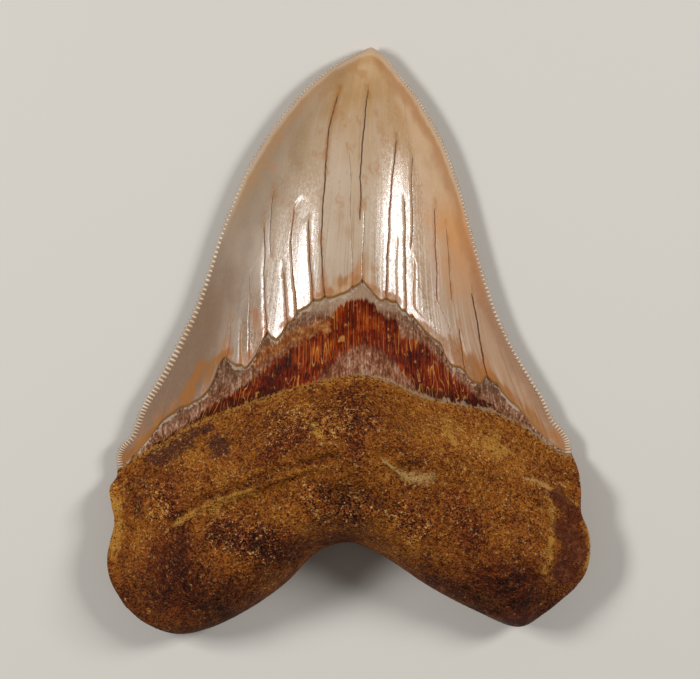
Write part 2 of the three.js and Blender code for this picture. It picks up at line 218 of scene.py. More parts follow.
def notch_line(line, side, fade=3):
    """The bottoms of the notches between the serrations, which the crown itself reaches."""
    run = run_along(line)
    depth = NOTCH * smooth(run, 0, FINE_TIP) * smooth(run[-1] - run, 0, fade)
    return line + inward_of(line, side) * depth[:, None]


def chipped(points, samples=600, fade=12, reach=4):
    """A foot of the enamel as a line with angular chips, and a notch where a crack meets it."""
    curve = curve_through(points, 4)
    x = np.linspace(curve[0, 0], curve[-1, 0], samples)
    ends = smooth(x, x[0], x[0] + fade) * smooth(x[-1] - x, 0, fade)
    chance = np.random.default_rng(CHIP_SEED)
    chips = np.zeros(len(x))
    for spacing, height in ENAMEL_CHIPS:
        knots = np.arange(x[0], x[-1] + spacing, spacing)
        chips += height * np.interp(x, knots, chance.uniform(-1, 1, len(knots)))
    for path, _, darkness, _ in CRACKS:
        end_x, end_y = path[-1]
        if abs(end_y - height_at(curve, end_x)) < reach:
            notch = np.maximum(0, 1 - np.abs(x - end_x) / FOOT_NOTCH[1])
            chips += FOOT_NOTCH[0] * darkness * notch
    return np.stack([x, height_at(curve, x) + ends * chips], axis=-1)


left_edge = curve_through(LEFT_EDGE)
right_edge = curve_through(RIGHT_EDGE)
left_rim = notch_line(left_edge, 1)
right_rim = notch_line(right_edge, -1)
inner_left = curve_through(INNER_LEFT)
inner_right = curve_through(INNER_RIGHT)
enamel_foot = chipped(ENAMEL_FOOT)
labial_foot = chipped(LABIAL_FOOT)


def share_between(x, y, left, right):
    """How far points are across from one line to another that both run down the tooth."""
    start, end = (np.interp(y, line[::-1, 1], line[::-1, 0]) for line in (left, right))
    return np.clip(0.5 + (x - (start + end) / 2) / np.maximum(end - start, 1e-6), 0, 1)


def in_from_edge(x, y):
    """Share of the way from the nearer cutting edge to the middle line."""
    return 1 - np.abs(2 * share_between(x, y, left_edge, right_edge) - 1)


def dome(x, y):
    run = np.maximum(0, TIP[1] - y)
    crest = CREST * (1 - np.exp(-run / CREST_RUN)) ** CREST_POWER
    power = blend(*DOME_POWER, smooth(run, *DOME_TURN))
    return EDGE_Z + crest * np.sin(np.pi / 2 * in_from_edge(x, y)) ** power


def crown_points(foot, share, down):
    """The crown's rows, straight at the tip, take the enamel foot's shape on the way."""
    left, right = along(inner_left, down)[:, None], along(inner_right, down)[:, None]
    left_turn = along(left_rim, down)[:, None] - left
    right_turn = along(right_rim, down)[:, None] - right
    across = share[..., None]
    turns = left_turn * (1 - across) ** EDGE_GRIP + right_turn * across**EDGE_GRIP
    bend = on_line(foot, share) - blend(left_rim[-1], right_rim[-1], across)
    return blend(left, right, across) + turns + bend * down[:, None, None] ** FOOT_GRIP


def row_width(down):
    return np.linalg.norm(along(right_rim, down) - along(left_rim, down), axis=1)


def follow_crack(crack, foot, down, rounds=20, margin=0.02):
    """Share across each row at which a crack crosses it, and how open it is there."""
    points, _, darkness, _ = crack
    path = curve_through(points, 6)[::-1]
    width = np.maximum(row_width(down), 1)
    share = np.full((len(down), 1), 0.5)
    for _ in range(rounds):
        at = crown_points(foot, share, down)[:, 0]
        waver = sum(reach * np.sin(turn * at[:, 1] + path[0, 0]) for turn, reach in CRACK_WAVER)
        miss = np.interp(at[:, 1], path[:, 1], path[:, 0]) + waver - at[:, 0]
        share[:, 0] += miss / width
        share = np.clip(share, margin, 1 - margin)
    y = at[:, 1]
    share[y > path[-1, 1], 0] = share[np.argmax(y <= path[-1, 1]), 0]
    opening = smooth(path[-1, 1] - y, 0, CRACK_TOP_FADE) * smooth(y - path[0, 1], *CRACK_FOOT_FADE)
    return share[:, 0], darkness * opening


def place_columns(cracks, foot, down, rounds=80):
    """Share across of every column in every row, three of them on each crack, how open the
    cracks are, and how far the leaning strips between them rise."""
    shares, openings = zip(*(follow_crack(crack, foot, down) for crack in cracks))
    shares, openings = np.array(shares), np.array(openings)
    width = row_width(down) + 1e-6
    halves = np.array([np.minimum(wide / 2 / width, WIDEST_HALF) for _, wide, _, _ in cracks])
    closed = 1 - smooth(openings, 0, JUST_OPEN)
    give = GIVE - (openings > 0)
    for _ in range(rounds):
        straight = (shares[:, :-2] + shares[:, 2:]) / 2
        shares[:, 1:-1] += 0.5 * closed[:, 1:-1] * (straight - shares[:, 1:-1])
        for k in range(len(cracks) - 1):
            overlap = shares[k] + halves[k] + halves[k + 1] + CRACK_GAP - shares[k + 1]
            push = np.maximum(overlap, 0) / (give[k] + give[k + 1])
            shares[k] -= push * give[k]
            shares[k + 1] += push * give[k + 1]
    chosen = np.argmin(np.abs(down - CHOSEN_ROW))
    middle = np.round(shares[:, chosen] * COLUMNS).astype(int)
    for k in range(1, len(middle)):
        middle[k] = max(middle[k], middle[k - 1] + COLUMNS_APART)
    fixed = np.array([middle - 1, middle, middle + 1]).T.ravel()
    places = np.array([shares - halves, shares, shares + halves]).T.reshape(len(down), -1)
    columns = np.array([
        np.interp(np.arange(COLUMNS + 1), [0, *fixed, COLUMNS], [0, *row, 1]) for row in places
    ])
    crack = np.zeros_like(columns)
    crack[:, middle] = openings.T
    crack[:, middle - 1] = crack[:, middle + 1] = openings.T / 2
    rise = np.zeros_like(columns)
    for k in range(len(cracks) - 1):
        slope = math.tan(math.radians(cracks[k][3]))
        reach = slope * (shares[k + 1] - shares[k]) * width / 2
        across = np.linspace(0, 1, middle[k + 1] - middle[k] - 1)
        ends = (reach * np.minimum(1, 2 * openings[k : k + 2]))[:, :, None]
        rise[:, middle[k] + 1 : middle[k + 1]] = blend(ends[0], -ends[1], across)
    rise[:, middle] = (rise[:, middle - 1] + rise[:, middle + 1]) / 2 - CRACK_DEPTH * openings.T
    return columns, crack, rise


def linear(colour):
    """An sRGB hex colour as linear values."""
    values = [int(colour[i : i + 2], 16) / 255 for i in (1, 3, 5)]
    return (*(v / 12.92 if v < 0.04045 else ((v + 0.055) / 1.055) ** 2.4 for v in values), 1)


def find_socket(sockets, name):
    if isinstance(name, int):
        return sockets[name]
    return next(socket for socket in sockets if name in (socket.identifier, socket.name))


def set_inputs(tree, node, inputs):
    """Gives each input a value, a node, or a node with the name of its output."""
    for name, value in inputs.items():
        socket = find_socket(node.inputs, name)
        if isinstance(value, bpy.types.Node):
            value = (value, 0)
        if isinstance(value, tuple) and isinstance(value[0], bpy.types.Node):
            tree.links.new(find_socket(value[0].outputs, value[1]), socket)
        else:
            socket.default_value = value


def add_node(tree, kind, inputs=None, **settings):
    node = tree.nodes.new(kind)
    for name, value in settings.items():
        setattr(node, name, value)
    set_inputs(tree, node, inputs or {})
    return node


def add_patterns(tree, values, place, patterns):
    """Noise by name: how many mm its blotches are across, how far they are drawn out up the
    tooth, its detail and its distortion."""
    for name, (size, stretch, detail, distortion) in patterns.items():
        drawn = add_node(
            tree, "ShaderNodeVectorMath", {0: place, 1: (1, 1 / stretch, 1)}, operation="MULTIPLY"
        )
        values[name] = add_node(
            tree,
            "ShaderNodeTexNoise",
            {"Vector": drawn, "Scale": 1 / size, "Detail": detail, "Distortion": distortion},
        )


def start_material(name, ior, attributes, patterns):
    """A new material, its tree and shader, and by name the values that its look follows: the
    place in mm, the skin's own attributes and patterns."""
    material = bpy.data.materials.new(name)
    material.use_nodes = True
    tree = material.node_tree
    shader = tree.nodes["Principled BSDF"]
    set_inputs(tree, shader, {"IOR": ior})
    place = (add_node(tree, "ShaderNodeTexCoord"), "Object")
    in_mm = {0: place, 1: (1 / MM, 1 / MM, 1 / MM)}
    place = add_node(tree, "ShaderNodeVectorMath", in_mm, operation="MULTIPLY")
    axes = add_node(tree, "ShaderNodeSeparateXYZ", {0: place})
    values = {"place": place, "x": (axes, "X"), "y": (axes, "Y")}
    for name in attributes:
        values[name] = (add_node(tree, "ShaderNodeAttribute", attribute_name=name), "Fac")
    add_patterns(tree, values, place, patterns)
    return material, tree, shader, values


def mask(tree, values, rule):
    """A mask by its name or as a plain share, or one that goes from 0 to 1 as a field, moved
    by so much of a pattern, goes from start to end."""
    if not isinstance(rule, tuple):
        return values.get(rule, rule)
    field, noise, reach, start, end = rule
    centred = add_node(tree, "ShaderNodeMath", {0: values[noise], 1: 0.5}, operation="SUBTRACT")
    moved = add_node(
        tree, "ShaderNodeMath", {0: centred, 1: reach, 2: values[field]}, operation="MULTIPLY_ADD"
    )
    return add_node(
        tree,
        "ShaderNodeMapRange",
        {"Value": moved, "From Min": start, "From Max": end},
        interpolation_type="SMOOTHSTEP",
    )


def add_masks(tree, values, rules):
    for name, rule in rules.items():
        values[name] = mask(tree, values, rule)


def shades(tree, value, stops):
    """Colours along a value, by their places from 0 to 1."""
    ramp = add_node(tree, "ShaderNodeValToRGB", {"Fac": value})
    elements = ramp.color_ramp.elements
    while len(elements) < len(stops):
        elements.new(1)
    for element, (place, colour) in zip(elements, stops.items()):
        element.position = place
        element.color = linear(colour)
    return (ramp, "Color")


def paint(tree, values, base, layers):
    """Lays colours over a base, each through the product of its masks."""
    for colour, *rules in layers:
        colour = values.get(colour) or linear(colour)
        amount, *others = (mask(tree, values, rule) for rule in rules)
        for other in others:
            amount = add_node(tree, "ShaderNodeMath", {0: amount, 1: other}, operation="MULTIPLY")
        inputs = {"Factor_Float": amount, "A_Color": base, "B_Color": colour}
        base = (add_node(tree, "ShaderNodeMix", inputs, data_type="RGBA"), "Result_Color")
    return base


def add_up(tree, values, start, weights):
    """A value with others added to it, each times its weight."""
    for name, weight in weights.items():
        inputs = {0: values[name], 1: weight, 2: start}
        start = add_node(tree, "ShaderNodeMath", inputs, operation="MULTIPLY_ADD")
    return start


def tones(tree, values, start, **weights):
    """A value round which patterns play, each as far as it is from a half."""
    return add_up(tree, values, start - sum(weights.values()) / 2, weights)


def carve(tree, shader, values, **depths):
    """Bump from patterns and their depths in mm."""
    height = add_up(tree, values, 0.0, depths)
    carved = add_node(tree, "ShaderNodeBump", {"Height": height, "Distance": MM})
    set_inputs(tree, shader, {"Normal": carved})


# Polished enameloid: apatite, clear and hard, so it has a sharp gloss over a tan body
# colour, with growth lines up the crown, and rusty stains along its edges, cracks and foot.
enameloid, tree, shader, values = start_material(
    "shark_enameloid",
    1.62,
    ("from_edge", "above_foot", "crack", "halo", "flank", "rust"),
    {"clouds": (11, 2.2, 3, 0), "blotches": (3.2, 1.6, 3, 0), "flecks": (0.45, 2, 2, 0)},
)
fan = (add_node(tree, "ShaderNodeAttribute", attribute_name="fan"), "Vector")
add_patterns(tree, values, fan, {
    "streaks": (1.5, 26, 3, 0), "fine_streaks": (0.5, 40, 2, 0), "hairs": (2.1, 34, 1, 0),
    "lines": (0.8, 60, 1, 0),
})
values["away"] = add_node(tree, "ShaderNodeMath", {0: values["flank"]}, operation="ABSOLUTE")
add_masks(tree, values, {
    "low_down": ("y", "clouds", 20, 30, 6),
    "high_up": ("y", "clouds", 24, 20, 40),
    "near_foot": ("above_foot", "blotches", 5, 3.5, 0.5),
    "central": ("away", "clouds", 0.3, 0.8, 0.5),
    "dull_flank": ("away", "clouds", 0.3, 0.55, 0.82),
    "rightwards": ("flank", "clouds", 0.3, 0.2, 0.55),
    "margin": ("from_edge", "blotches", 3, 4.5, 2.2),
    "inner_margin": ("from_edge", "blotches", 2, 1, 2),
    "in_crack": ("crack", "blotches", 0.25, 0.45, 0.8),
    "dull_crack": ("crack", "blotches", 0.2, 0.45, 0.8),
    "rusty": ("rust", "streaks", 1.8, 0.25, 0.8),
})
# Darker towards the foot and lighter in the middle of the crown: partly the tan's own colour, partly
# painted shade low down and painted highlight glow in the middle.
up = add_node(tree, "ShaderNodeMapRange", {"Value": values["y"], "From Min": -30, "From Max": TIP[1]})
body = shades(tree, up, {
    0: "#92765C", 0.3: "#A88D74", 0.5: "#C6AF97", 0.7: "#C3A98B", 0.88: "#B99264", 1: "#DDB88E",
})
base = paint(tree, values, body, [
    ("#CDB8A5", ("clouds", "blotches", 0.3, 0.45, 0.7), 0.5),
    ("#AA8052", ("clouds", "blotches", 0.35, 0.48, 0.3), 0.5),
    ("#8A7866", ("streaks", "fine_streaks", 0.4, 0.56, 0.72), 0.2),
    ("#D6C4B0", ("streaks", "fine_streaks", 0.6, 0.42, 0.28), "central", 0.18),
    # The left flank is painted greyer and darker, most of all low down: partly the enamel's colour,
    # partly painted shade.
    ("#927E69", ("flank", "clouds", 0.7, -0.35, -0.95), 0.75),
    ("#8A6C48", ("flank", "clouds", 0.6, 0, -0.6), "high_up", 0.3),
    ("#AE7A48", ("blotches", "flecks", 0.3, 0.54, 0.66), "high_up", 0.5),
    ("#7A5A40", ("flank", "clouds", 0.4, -0.45, -0.85), "low_down", 0.8),
    ("#CC9C68", ("flank", "clouds", 0.5, 0.2, 0.7), 0.5),
    ("#DDB68E", ("flank", "blotches", 0.4, 0.55, 0.85), "high_up", 0.6),
    ("#D8924E", ("flank", "blotches", 0.4, 0.55, 0.85), ("y", "clouds", 8, 38, 26), 0.85),
    ("#A98D75", ("flank", "clouds", 0.4, 0.3, 0.7), "low_down", 0.75),
    ("#94694A", "margin", "rightwards", "low_down", 0.7),
    ("#E6D5C0", ("lines", "fine_streaks", 0.3, 0.53, 0.66), ("away", "clouds", 0.3, 0, 0.4),
     ("above_foot", "clouds", 14, 22, 8), ("flank", "clouds", 0.3, -0.7, -0.4),
     ("flank", "clouds", 0.3, 0.95, 0.65), 0.6),
    ("#8F6A48", ("lines", "fine_streaks", 0.3, 0.45, 0.33), ("above_foot", "clouds", 14, 22, 4),
     0.55),
    ("#95572A", "near_foot", ("away", "clouds", 0.4, 0.3, 0.7),
     ("streaks", "blotches", 0.8, 0.3, 0.5), 0.3),
    ("#D0A272", "near_foot", ("away", "clouds", 0.3, 0.35, 0.1), 0.5),
    ("#A0632A", "rusty", ("blotches", "streaks", 1, 0.25, 0.55), 0.9),
    ("#8A7440", "rusty", ("flecks", "hairs", 1.2, 0.5, 0.7), 0.5),
    ("#7A4A20", ("rust", "hairs", 2.6, 0.8, 1.4), 0.6),
    ("#B0702F", ("above_foot", "blotches", 12, 5, 0), ("hairs", "fine_streaks", 0.4, 0.42, 0.6),
     0.5),
    ("#B0703A", "inner_margin", "margin", "rightwards", ("y", "clouds", 8, 0, 14), 0.5),
    ("#B4814C", "inner_margin", "margin", "high_up", 0.5),
    ("#D6B48E", ("from_edge", "blotches", 1.2, 2, 0.9), "high_up", 0.7),
    ("#B8A08C", ("from_edge", "blotches", 0.8, 1.4, 0.6), 0.5),
    ("#A4692A", "halo", ("hairs", "blotches", 0.9, 0.42, 0.62), 0.7),
    ("#B0662A", "halo", ("above_foot", "blotches", 8, 7, 1), 0.75),
    ("#54301A", "in_crack"),
    ("#9A6630", "in_crack", ("blotches", "flecks", 0.4, 0.5, 0.62), 0.6),
    ("#93632B", ("above_foot", "blotches", 0.9, 0.22, 0), 0.75),
])
gloss = add_node(
    tree,
    "ShaderNodeMapRange",
    {"Value": values["flecks"], "From Min": 0.4, "From Max": 0.7, "To Min": 0.14, "To Max": 0.34},
)
gloss = add_up(tree, values, gloss, {"dull_flank": 0.6, "dull_crack": 0.6, "rusty": 0.3})
set_inputs(tree, shader, {"Base Color": base, "Roughness": gloss})
carve(tree, shader, values, streaks=0.03, fine_streaks=0.012, flecks=0.014, blotches=0.02)

# Bourlette. The low band in the shape of a chevron where the enamel has gone and bare dentine
# shows: a grey crust under the enamel's foot, and below it the dark red fibrous dentine.
ROOT_TOP = [
    LEFT_CORNER, (-49.8, -27.3), (-45.5, -25.2), (-39.4, -21.3), (-30.3, -17.4), (-20.3, -13.9),
    (-10.8, -10.9), (2.2, -8.3), (9.6, -9.8), (17.6, -13.5), (25.5, -15.2), (35.2, -17.3),
    (42.3, -20.8), (50.6, -26.6), RIGHT_CORNER,
]
CRUST_FOOT = [
    LEFT_CORNER, (-46, -24.6), (-35.9, -17.8), (-32.5, -14.7), (-28.1, -12.6), (-24.7, -10),
    (-21.6, -7.8), (-17.3, -4.4), (-12.1, -0.4), (-5.2, 4.7), (-2.6, 7.8), (1.3, 9.7),
    (4.4, 9.9), (8.4, 6.1), (11.8, 4), (12.6, 1.1), (17.6, -0.6), (23.9, -7.3), (30.1, -12.7),
    (37.2, -17.3), (45, -22.5), RIGHT_CORNER,
]
MAUVE_MIDDLE = 4.5  # the violet lens above the root's top: its middle, half width and height
MAUVE_HALF = 13
MAUVE_HEIGHT = 7.5
BAND_STAINS = {
    "tan": [([(-22, -4.6), (-15.5, -0.4), (-6, 3.6)], 1.7)],
    "black": [
        ([(-14, -3), (-14.6, -6)], 1.1), ([(-17, -6.5), (-18.4, -9.6)], 1.2),
        ([(-24, -10.5), (-28, -12.6)], 0.9),
    ],
}
ENAMEL_STEP = 0.6
STEP_RUN = 0.6
STEP_SHARE = 0.3  # of the band's height that the step takes at the most
BOURLETTE_DIP = 0.8
BOURLETTE_FULL = 8
BAND_ROWS = 16
STEP_ROWS = 2  # those of them on the enamel's broken edge

root_top = curve_through(ROOT_TOP, 8)
crust_foot = curve_through(CRUST_FOOT, 8)


def band_points(share):
    """The bourlette's rows: two down the enamel's broken edge, then on to the root's top."""
    upper, lower = on_line(enamel_foot, share), on_line(root_top, share)
    gap = upper[:, 1] - lower[:, 1]
    step = np.minimum(STEP_RUN, STEP_SHARE * gap)
    rows = []
    for row in range(BAND_ROWS):
        drop = step / 2 if row == 0 else blend(step, gap, (row - 1) / (BAND_ROWS - STEP_ROWS))
        rows.append(np.stack([upper[:, 0], upper[:, 1] - drop], axis=-1))
    return np.array(rows)


def band_dip(x, y):
    """How far the bourlette lies below the crown's dome."""
    foot, top = height_at(enamel_foot, x), height_at(root_top, x)
    across = np.clip((foot - y) / np.maximum(foot - top, 1e-6), 0, 1)
    step = ENAMEL_STEP * smooth(foot - y, 0, STEP_RUN)
    return smooth(foot - top, 0, BOURLETTE_FULL) * (step + BOURLETTE_DIP * np.sin(np.pi * across))


# Bare dentine: softer than enamel and stained by iron, with its fibres standing as vertical
# ribs, orange on their crests and blue-black in the gaps, and a half-matt sheen.
dentine, tree, shader, values = start_material(
    "iron_stained_dentine",
    1.54,
    ("above_foot", "above_crust_foot", "above_root", "mauve", *BAND_STAINS),
    {
        "fibres": (0.5, 20, 2, 0), "gaps": (0.8, 12, 2, 0.2), "cords": (1.2, 90, 0, 0),
        "grit": (0.45, 1.8, 2, 0), "lumps": (1.6, 1, 2, 0), "clouds": (6, 1, 2, 0),
    },
)
thread = add_node(tree, "ShaderNodeMath", {0: values["cords"], 1: 0.5}, operation="SUBTRACT")
values["thread"] = add_node(tree, "ShaderNodeMath", {0: thread}, operation="ABSOLUTE")
values["aside"] = add_node(tree, "ShaderNodeMath", {0: values["x"]}, operation="ABSOLUTE")
add_masks(tree, values, {"in_crust": ("above_crust_foot", "gaps", 3.4, -0.4, 0.5)})
red = shades(tree, tones(tree, values, 0.5, fibres=1.2, grit=0.3, clouds=0.8), {
    0.1: "#1A0502", 0.32: "#461003", 0.52: "#6C1C00", 0.7: "#923602", 0.95: "#BE6C20",
})
values["grey_crust"] = shades(tree, tones(tree, values, 0.5, fibres=0.6, grit=0.6, lumps=0.6), {
    0.1: "#452818", 0.42: "#6E4933", 0.62: "#88654E", 0.95: "#B89D87",
})
values["violet"] = shades(tree, tones(tree, values, 0.5, fibres=1.1, grit=0.8, clouds=0.8), {
    0.1: "#451B08", 0.45: "#7C4A2C", 0.7: "#A67A61", 0.95: "#D0B39E",
})
values["tan_crust"] = shades(tree, tones(tree, values, 0.5, fibres=0.5, grit=0.7, lumps=0.9), {
    0.15: "#54290F", 0.45: "#8A4E22", 0.65: "#A96C38", 0.95: "#D2A270",
})
base = paint(tree, values, red, [
    ("#160601", ("gaps", "grit", 0.1, 0.6, 0.7), 0.7),
    ("#120A0B", ("black", "fibres", 4, 0.7, 0.95), 0.85),
    ("#341004", ("above_root", "gaps", 3, 3, 0.8), ("aside", "clouds", 6, 12, 18), 0.8),
    ("#CC9148", ("thread", "grit", 0.03, 0.03, 0.01), ("clouds", "lumps", 0.6, 0.42, 0.52), 0.65),
    ("violet", ("mauve", "gaps", 6, -0.6, 1.8), 0.85),
    ("#5E3226", ("mauve", "lumps", 6, -0.6, 1.8), ("grit", "lumps", 0.6, 0.62, 0.45), 0.15),
    ("grey_crust", "in_crust"),
    ("violet", "in_crust", ("above_crust_foot", "gaps", 3, 2.8, 1.2), 0.8),
    ("tan_crust", ("tan", "lumps", 1.8, 0.15, 0.75), 0.9),
    ("#B2957A", "in_crust", ("y", "lumps", 4, 5, 9), 0.7),
    ("#B9A591", "in_crust", ("grit", "lumps", 0.4, 0.58, 0.7), 0.3),
    ("#9C6A2C", ("above_root", "grit", 2.4, 0.45, -0.1), ("x", "clouds", 12, 0, -8), 0.85),
    ("#A38A72", ("above_root", "gaps", 3, 0.5, 0), ("x", "clouds", 12, 0, 6), 0.7),
    ("#BFAE99", ("above_foot", "lumps", 1.8, -1.3, -0.8), ("clouds", "grit", 0.9, 0.4, 0.56), 0.75),
    ("#6B451F", ("above_foot", "grit", 0.5, -0.4, -0.1), 0.5),
])
sheen = add_up(tree, values, 0.45, {"in_crust": 0.15})
set_inputs(tree, shader, {"Base Color": base, "Roughness": sheen, "Specular IOR Level": 0.05})
carve(tree, shader, values, fibres=0.25, gaps=-0.2, grit=0.15, lumps=0.12)

# Root. The thick two-lobed base of osteodentine, a spongy bone-like tissue, that held the
# tooth in the gum. Its surface is rough, pitted and stained, with ledges round the nutrient
# hollow in its middle.
LEFT_ROOT = [
    LEFT_CORNER, (-56.4, -33.6), (-58, -35.6), (-57.6, -39.6), (-56.8, -44), (-58, -49.4),
    (-58.6, -53.4), (-57.7, -58.4), (-54.3, -64.4),
]
RIGHT_ROOT = [
    RIGHT_CORNER, (55.6, -31.2), (56.3, -36), (56.4, -42), (58, -46), (58.6, -51),
    (57.4, -56.5), (54.6, -60.4),
]
BASE = [
    LEFT_ROOT[-1], (-49.6, -68.4), (-42, -71.2), (-34.4, -70), (-24.6, -65.4), (-15.2, -58.8),
    (-7.4, -51.2), (0, -49), (7.4, -51.8), (19.7, -59.8), (30.4, -65.4), (41.4, -69.5),
    (47.2, -66.4), RIGHT_ROOT[-1],
]
ROOT_EDGE_Z = 8
ROOT_LIP = 0.8
LIP_RUN = 1
ROOT_SWELL = 6
SWELL_RUN = 10
RIM_RUN = 7
SLOPE_FACTOR = 0.8
# Bumps and, with a negative height, hollows: the middle, the half width and height in plan,
# and the height.
BUMPS = [
    ((2, -24), (25, 13), 5),
    ((-42, -54), (13, 16), 4.5),
    ((44, -52), (12, 15), 4.5),
    ((0.8, -37.4), (6.5, 3.4), -3),
    ((13, -32.4), (7, 1.8), -1.1),
    ((-27, -41.5), (9, 3.5), -1.2),
    ((34.5, -65.6), (4, 2.2), -2),
    ((-30.3, -67), (2.4, 2), -1.4),
    ((-53, -43.5), (4.5, 5), -1.6),
    ((51, -42), (6, 4.5), -1.3),
]
LEDGE_FROM = (-38, -40.2)
LEDGE_TO = (-3, -29)
LEDGE_DROP = 1.3
LEDGE_WIDTH = 1.6
LEDGE_FADE = 11
LEDGE_ENDS = (-0.1, 0.15, 0.85, 1.1)  # shares of its length between which it comes and goes
LUMP = 0.45
LUMP_WAVE = 11
LUMP_BEND = (1.3, 0.6, 0.8)  # how far and how often the lumps' rows wind, and how often they end
FAN_GRIP = 0.6  # share of the way down at which the rows have let go of the cracks' columns
ROW_EASE = 0.7  # how much closer the rows lie at both ends
# Furrows and, with a negative depth, ridges: a line, its half width and its depth.
FURROWS = [
    ([(-43, -43), (-34.4, -38.2), (-23, -34.2), (-14.7, -30.4), (-3.1, -28)], 0.75, 1.3),
    ([(-42.2, -44.4), (-34.2, -40), (-22.5, -35.8), (-14.4, -32.2)], 0.9, -0.8),
    ([(8, -27.2), (13.2, -31), (19.8, -30.4)], 0.8, 0.8),
    ([(8.3, -29), (13.4, -32.7), (19.5, -32.2)], 0.7, -0.7),
    ([(-53, -35.5), (-51.3, -41), (-52.6, -46)], 0.9, 0.9),
    ([(-49.3, -34.5), (-48.2, -40)], 0.7, 0.4),
    ([(44, -32.2), (50, -35), (54.4, -37.6)], 0.7, 0.6),
    ([(49.4, -38), (50.2, -45), (49, -52)], 0.6, 0.6),
    ([(-21, -50.8), (-20, -51.6)], 1.2, 1.3),
    ([(-31, -65), (-28.6, -66.4)], 1.4, 1.3),
    ([(-34.5, -40.2), (-31, -41)], 1.4, -0.7),
    ([(-2, -37.5), (1.8, -42.5)], 1.8, 0.8),
]
# Stains, each a line with its half width. The dark lines are painted shade, the gold ones along the
# ledges' crests are painted highlight, and the cream ones are pale colour with painted light on their
# lit slopes.
STAINS = {
    "ochre": [
        ([(-14.7, -32.4), (-3.1, -30)], 0.6), ([(20, -20), (31, -24), (42, -28)], 6),
        ([(-57.2, -36), (-55.4, -44), (-57, -52), (-56.5, -57)], 1.6),
        ([(-52, -44), (-50, -50)], 4), ([(-38, -29), (-30, -31)], 3),
        ([(10, -46), (16, -50)], 2.2), ([(-47, -66), (-37, -68)], 3),
    ],
    # Pale colour of the groove and the ledge's edge, with painted light on their lit slopes.
    "cream_and_painted_light": [
        ([(8.4, -28.9), (11.6, -31.4), (13.7, -32.6)], 0.8),
        ([(13.4, -32.6), (16, -33.4), (20, -32.8)], 1.5),
        ([(42.8, -33.2), (45.5, -34), (48.4, -35.6)], 0.5),
    ],
    # Painted shade: darker in the hollows and furrows, under the long ledge and along the base.
    "painted_shade": [
        ([(-2.1, -38), (1.8, -42.5)], 2.6), ([(-6, -37), (8, -38.6)], 3),
        ([(-43, -43), (-34.4, -38.4), (-23, -34.4), (-14.7, -30.6), (-3.1, -28.2)], 0.5),
        ([(-31, -47), (-21, -50.5)], 3.4), ([(30, -67), (44, -68)], 2.6),
        ([(-21, -50.8), (-20, -51.6)], 1), ([(-31, -65), (-28.6, -66.4)], 1.4),
        ([(-53, -35.5), (-51.3, -41), (-52.6, -46)], 0.6),
    ],
    "russet": [
        ([(-44, -54), (-40, -62)], 7.5), ([(34, -56), (42, -60)], 6),
        ([(0, -15), (1.5, -25)], 3.4), ([(-31, -46), (-16, -50)], 4.5),
        ([(-44, -34), (-40, -50)], 3), ([(26, -38), (30, -48)], 4),
        ([(-12, -22), (-20, -28)], 3),
    ],
    # Gold stains, and painted highlight along the lit crests of the ledges.
    "gold_and_painted_highlight": [
        ([(34, -24.4), (36.6, -26.4)], 2.6), ([(-8.6, -20.8), (-7, -23)], 1.3),
        ([(23, -19), (25.6, -24.4)], 1), ([(57.8, -43), (58.6, -50), (57.6, -55)], 1),
        ([(-42.2, -44.4), (-34.2, -40.2), (-22.5, -36)], 1.2),
        ([(49, -38), (49.4, -48), (47.6, -56)], 1), ([(-33, -40.6), (-32, -41)], 1.6),
        ([(44.7, -33.6), (50.5, -36.6), (55.2, -40)], 0.8),
        ([(-57.8, -37), (-56.2, -44), (-57.6, -52)], 1.6),
    ],
    "umber": [
        ([(-47.4, -28.6), (-43, -26.2), (-39.5, -24.6)], 2.5),
        ([(-40, -23.6), (-34, -21)], 1.2), ([(-31.7, -25.4), (-31, -25.2)], 2.8),
    ],
    "worn": [
        ([(50.4, -37.4), (55, -42.6)], 1.9), ([(52.6, -45.5), (55, -50), (52.4, -56)], 3.2),
        ([(34, -68), (44, -67)], 1.8),
    ],
    "crumbly": [
        ([(-30, -46), (-20, -48)], 5), ([(-3, -38.6), (1.4, -41)], 4),
        ([(-16, -20), (2, -19)], 4.5), ([(-46, -37), (-44.5, -41)], 3.2),
        ([(12, -41), (17, -46)], 4), ([(-10, -37), (-7, -41)], 3.5),
    ],
}

base_line = curve_through(BASE)
root_outline = np.vstack(
    [curve_through(LEFT_ROOT), base_line[1:], curve_through(RIGHT_ROOT)[-2::-1]]
)


def bump(x, y, middle, half, height):
    across, up_down = (x - middle[0]) / half[0], (y - middle[1]) / half[1]
    return height * np.exp(-(across**2) - up_down**2)


def below_root_top(x, y):
    return (height_at(root_top, x) - y) * SLOPE_FACTOR


def rounding(distance, radius):
    return np.sqrt(1 - (1 - np.clip(distance / radius, 0, 1)) ** 2)


def rim_height(x, y):
    return blend(EDGE_Z, ROOT_EDGE_Z, smooth(below_root_top(x, y), 0, RIM_RUN))


def ledge(x, y):
    share = (x - LEDGE_FROM[0]) / (LEDGE_TO[0] - LEDGE_FROM[0])
    below = blend(LEDGE_FROM[1], LEDGE_TO[1], share) - y
    ends = smooth(share, *LEDGE_ENDS[:2]) * (1 - smooth(share, *LEDGE_ENDS[2:]))
    step = smooth(below, 0, LEDGE_WIDTH) * (1 - smooth(below, LEDGE_WIDTH, LEDGE_FADE))
    return -LEDGE_DROP * ends * step


def slow_lumps(x, y):
    turn = 2 * np.pi / LUMP_WAVE
    reach, often, row_end = LUMP_BEND
    return LUMP * np.sin(turn * x + reach * np.sin(often * turn * y)) * np.cos(row_end * turn * y)


def root_swell(x, y, below):
    relief = sum(bump(x, y, *given) for given in BUMPS)
    swell = ROOT_SWELL + relief + ledge(x, y) + slow_lumps(x, y)
    return ROOT_LIP * smooth(below, 0, LIP_RUN) + smooth(below, 0, SWELL_RUN) * swell


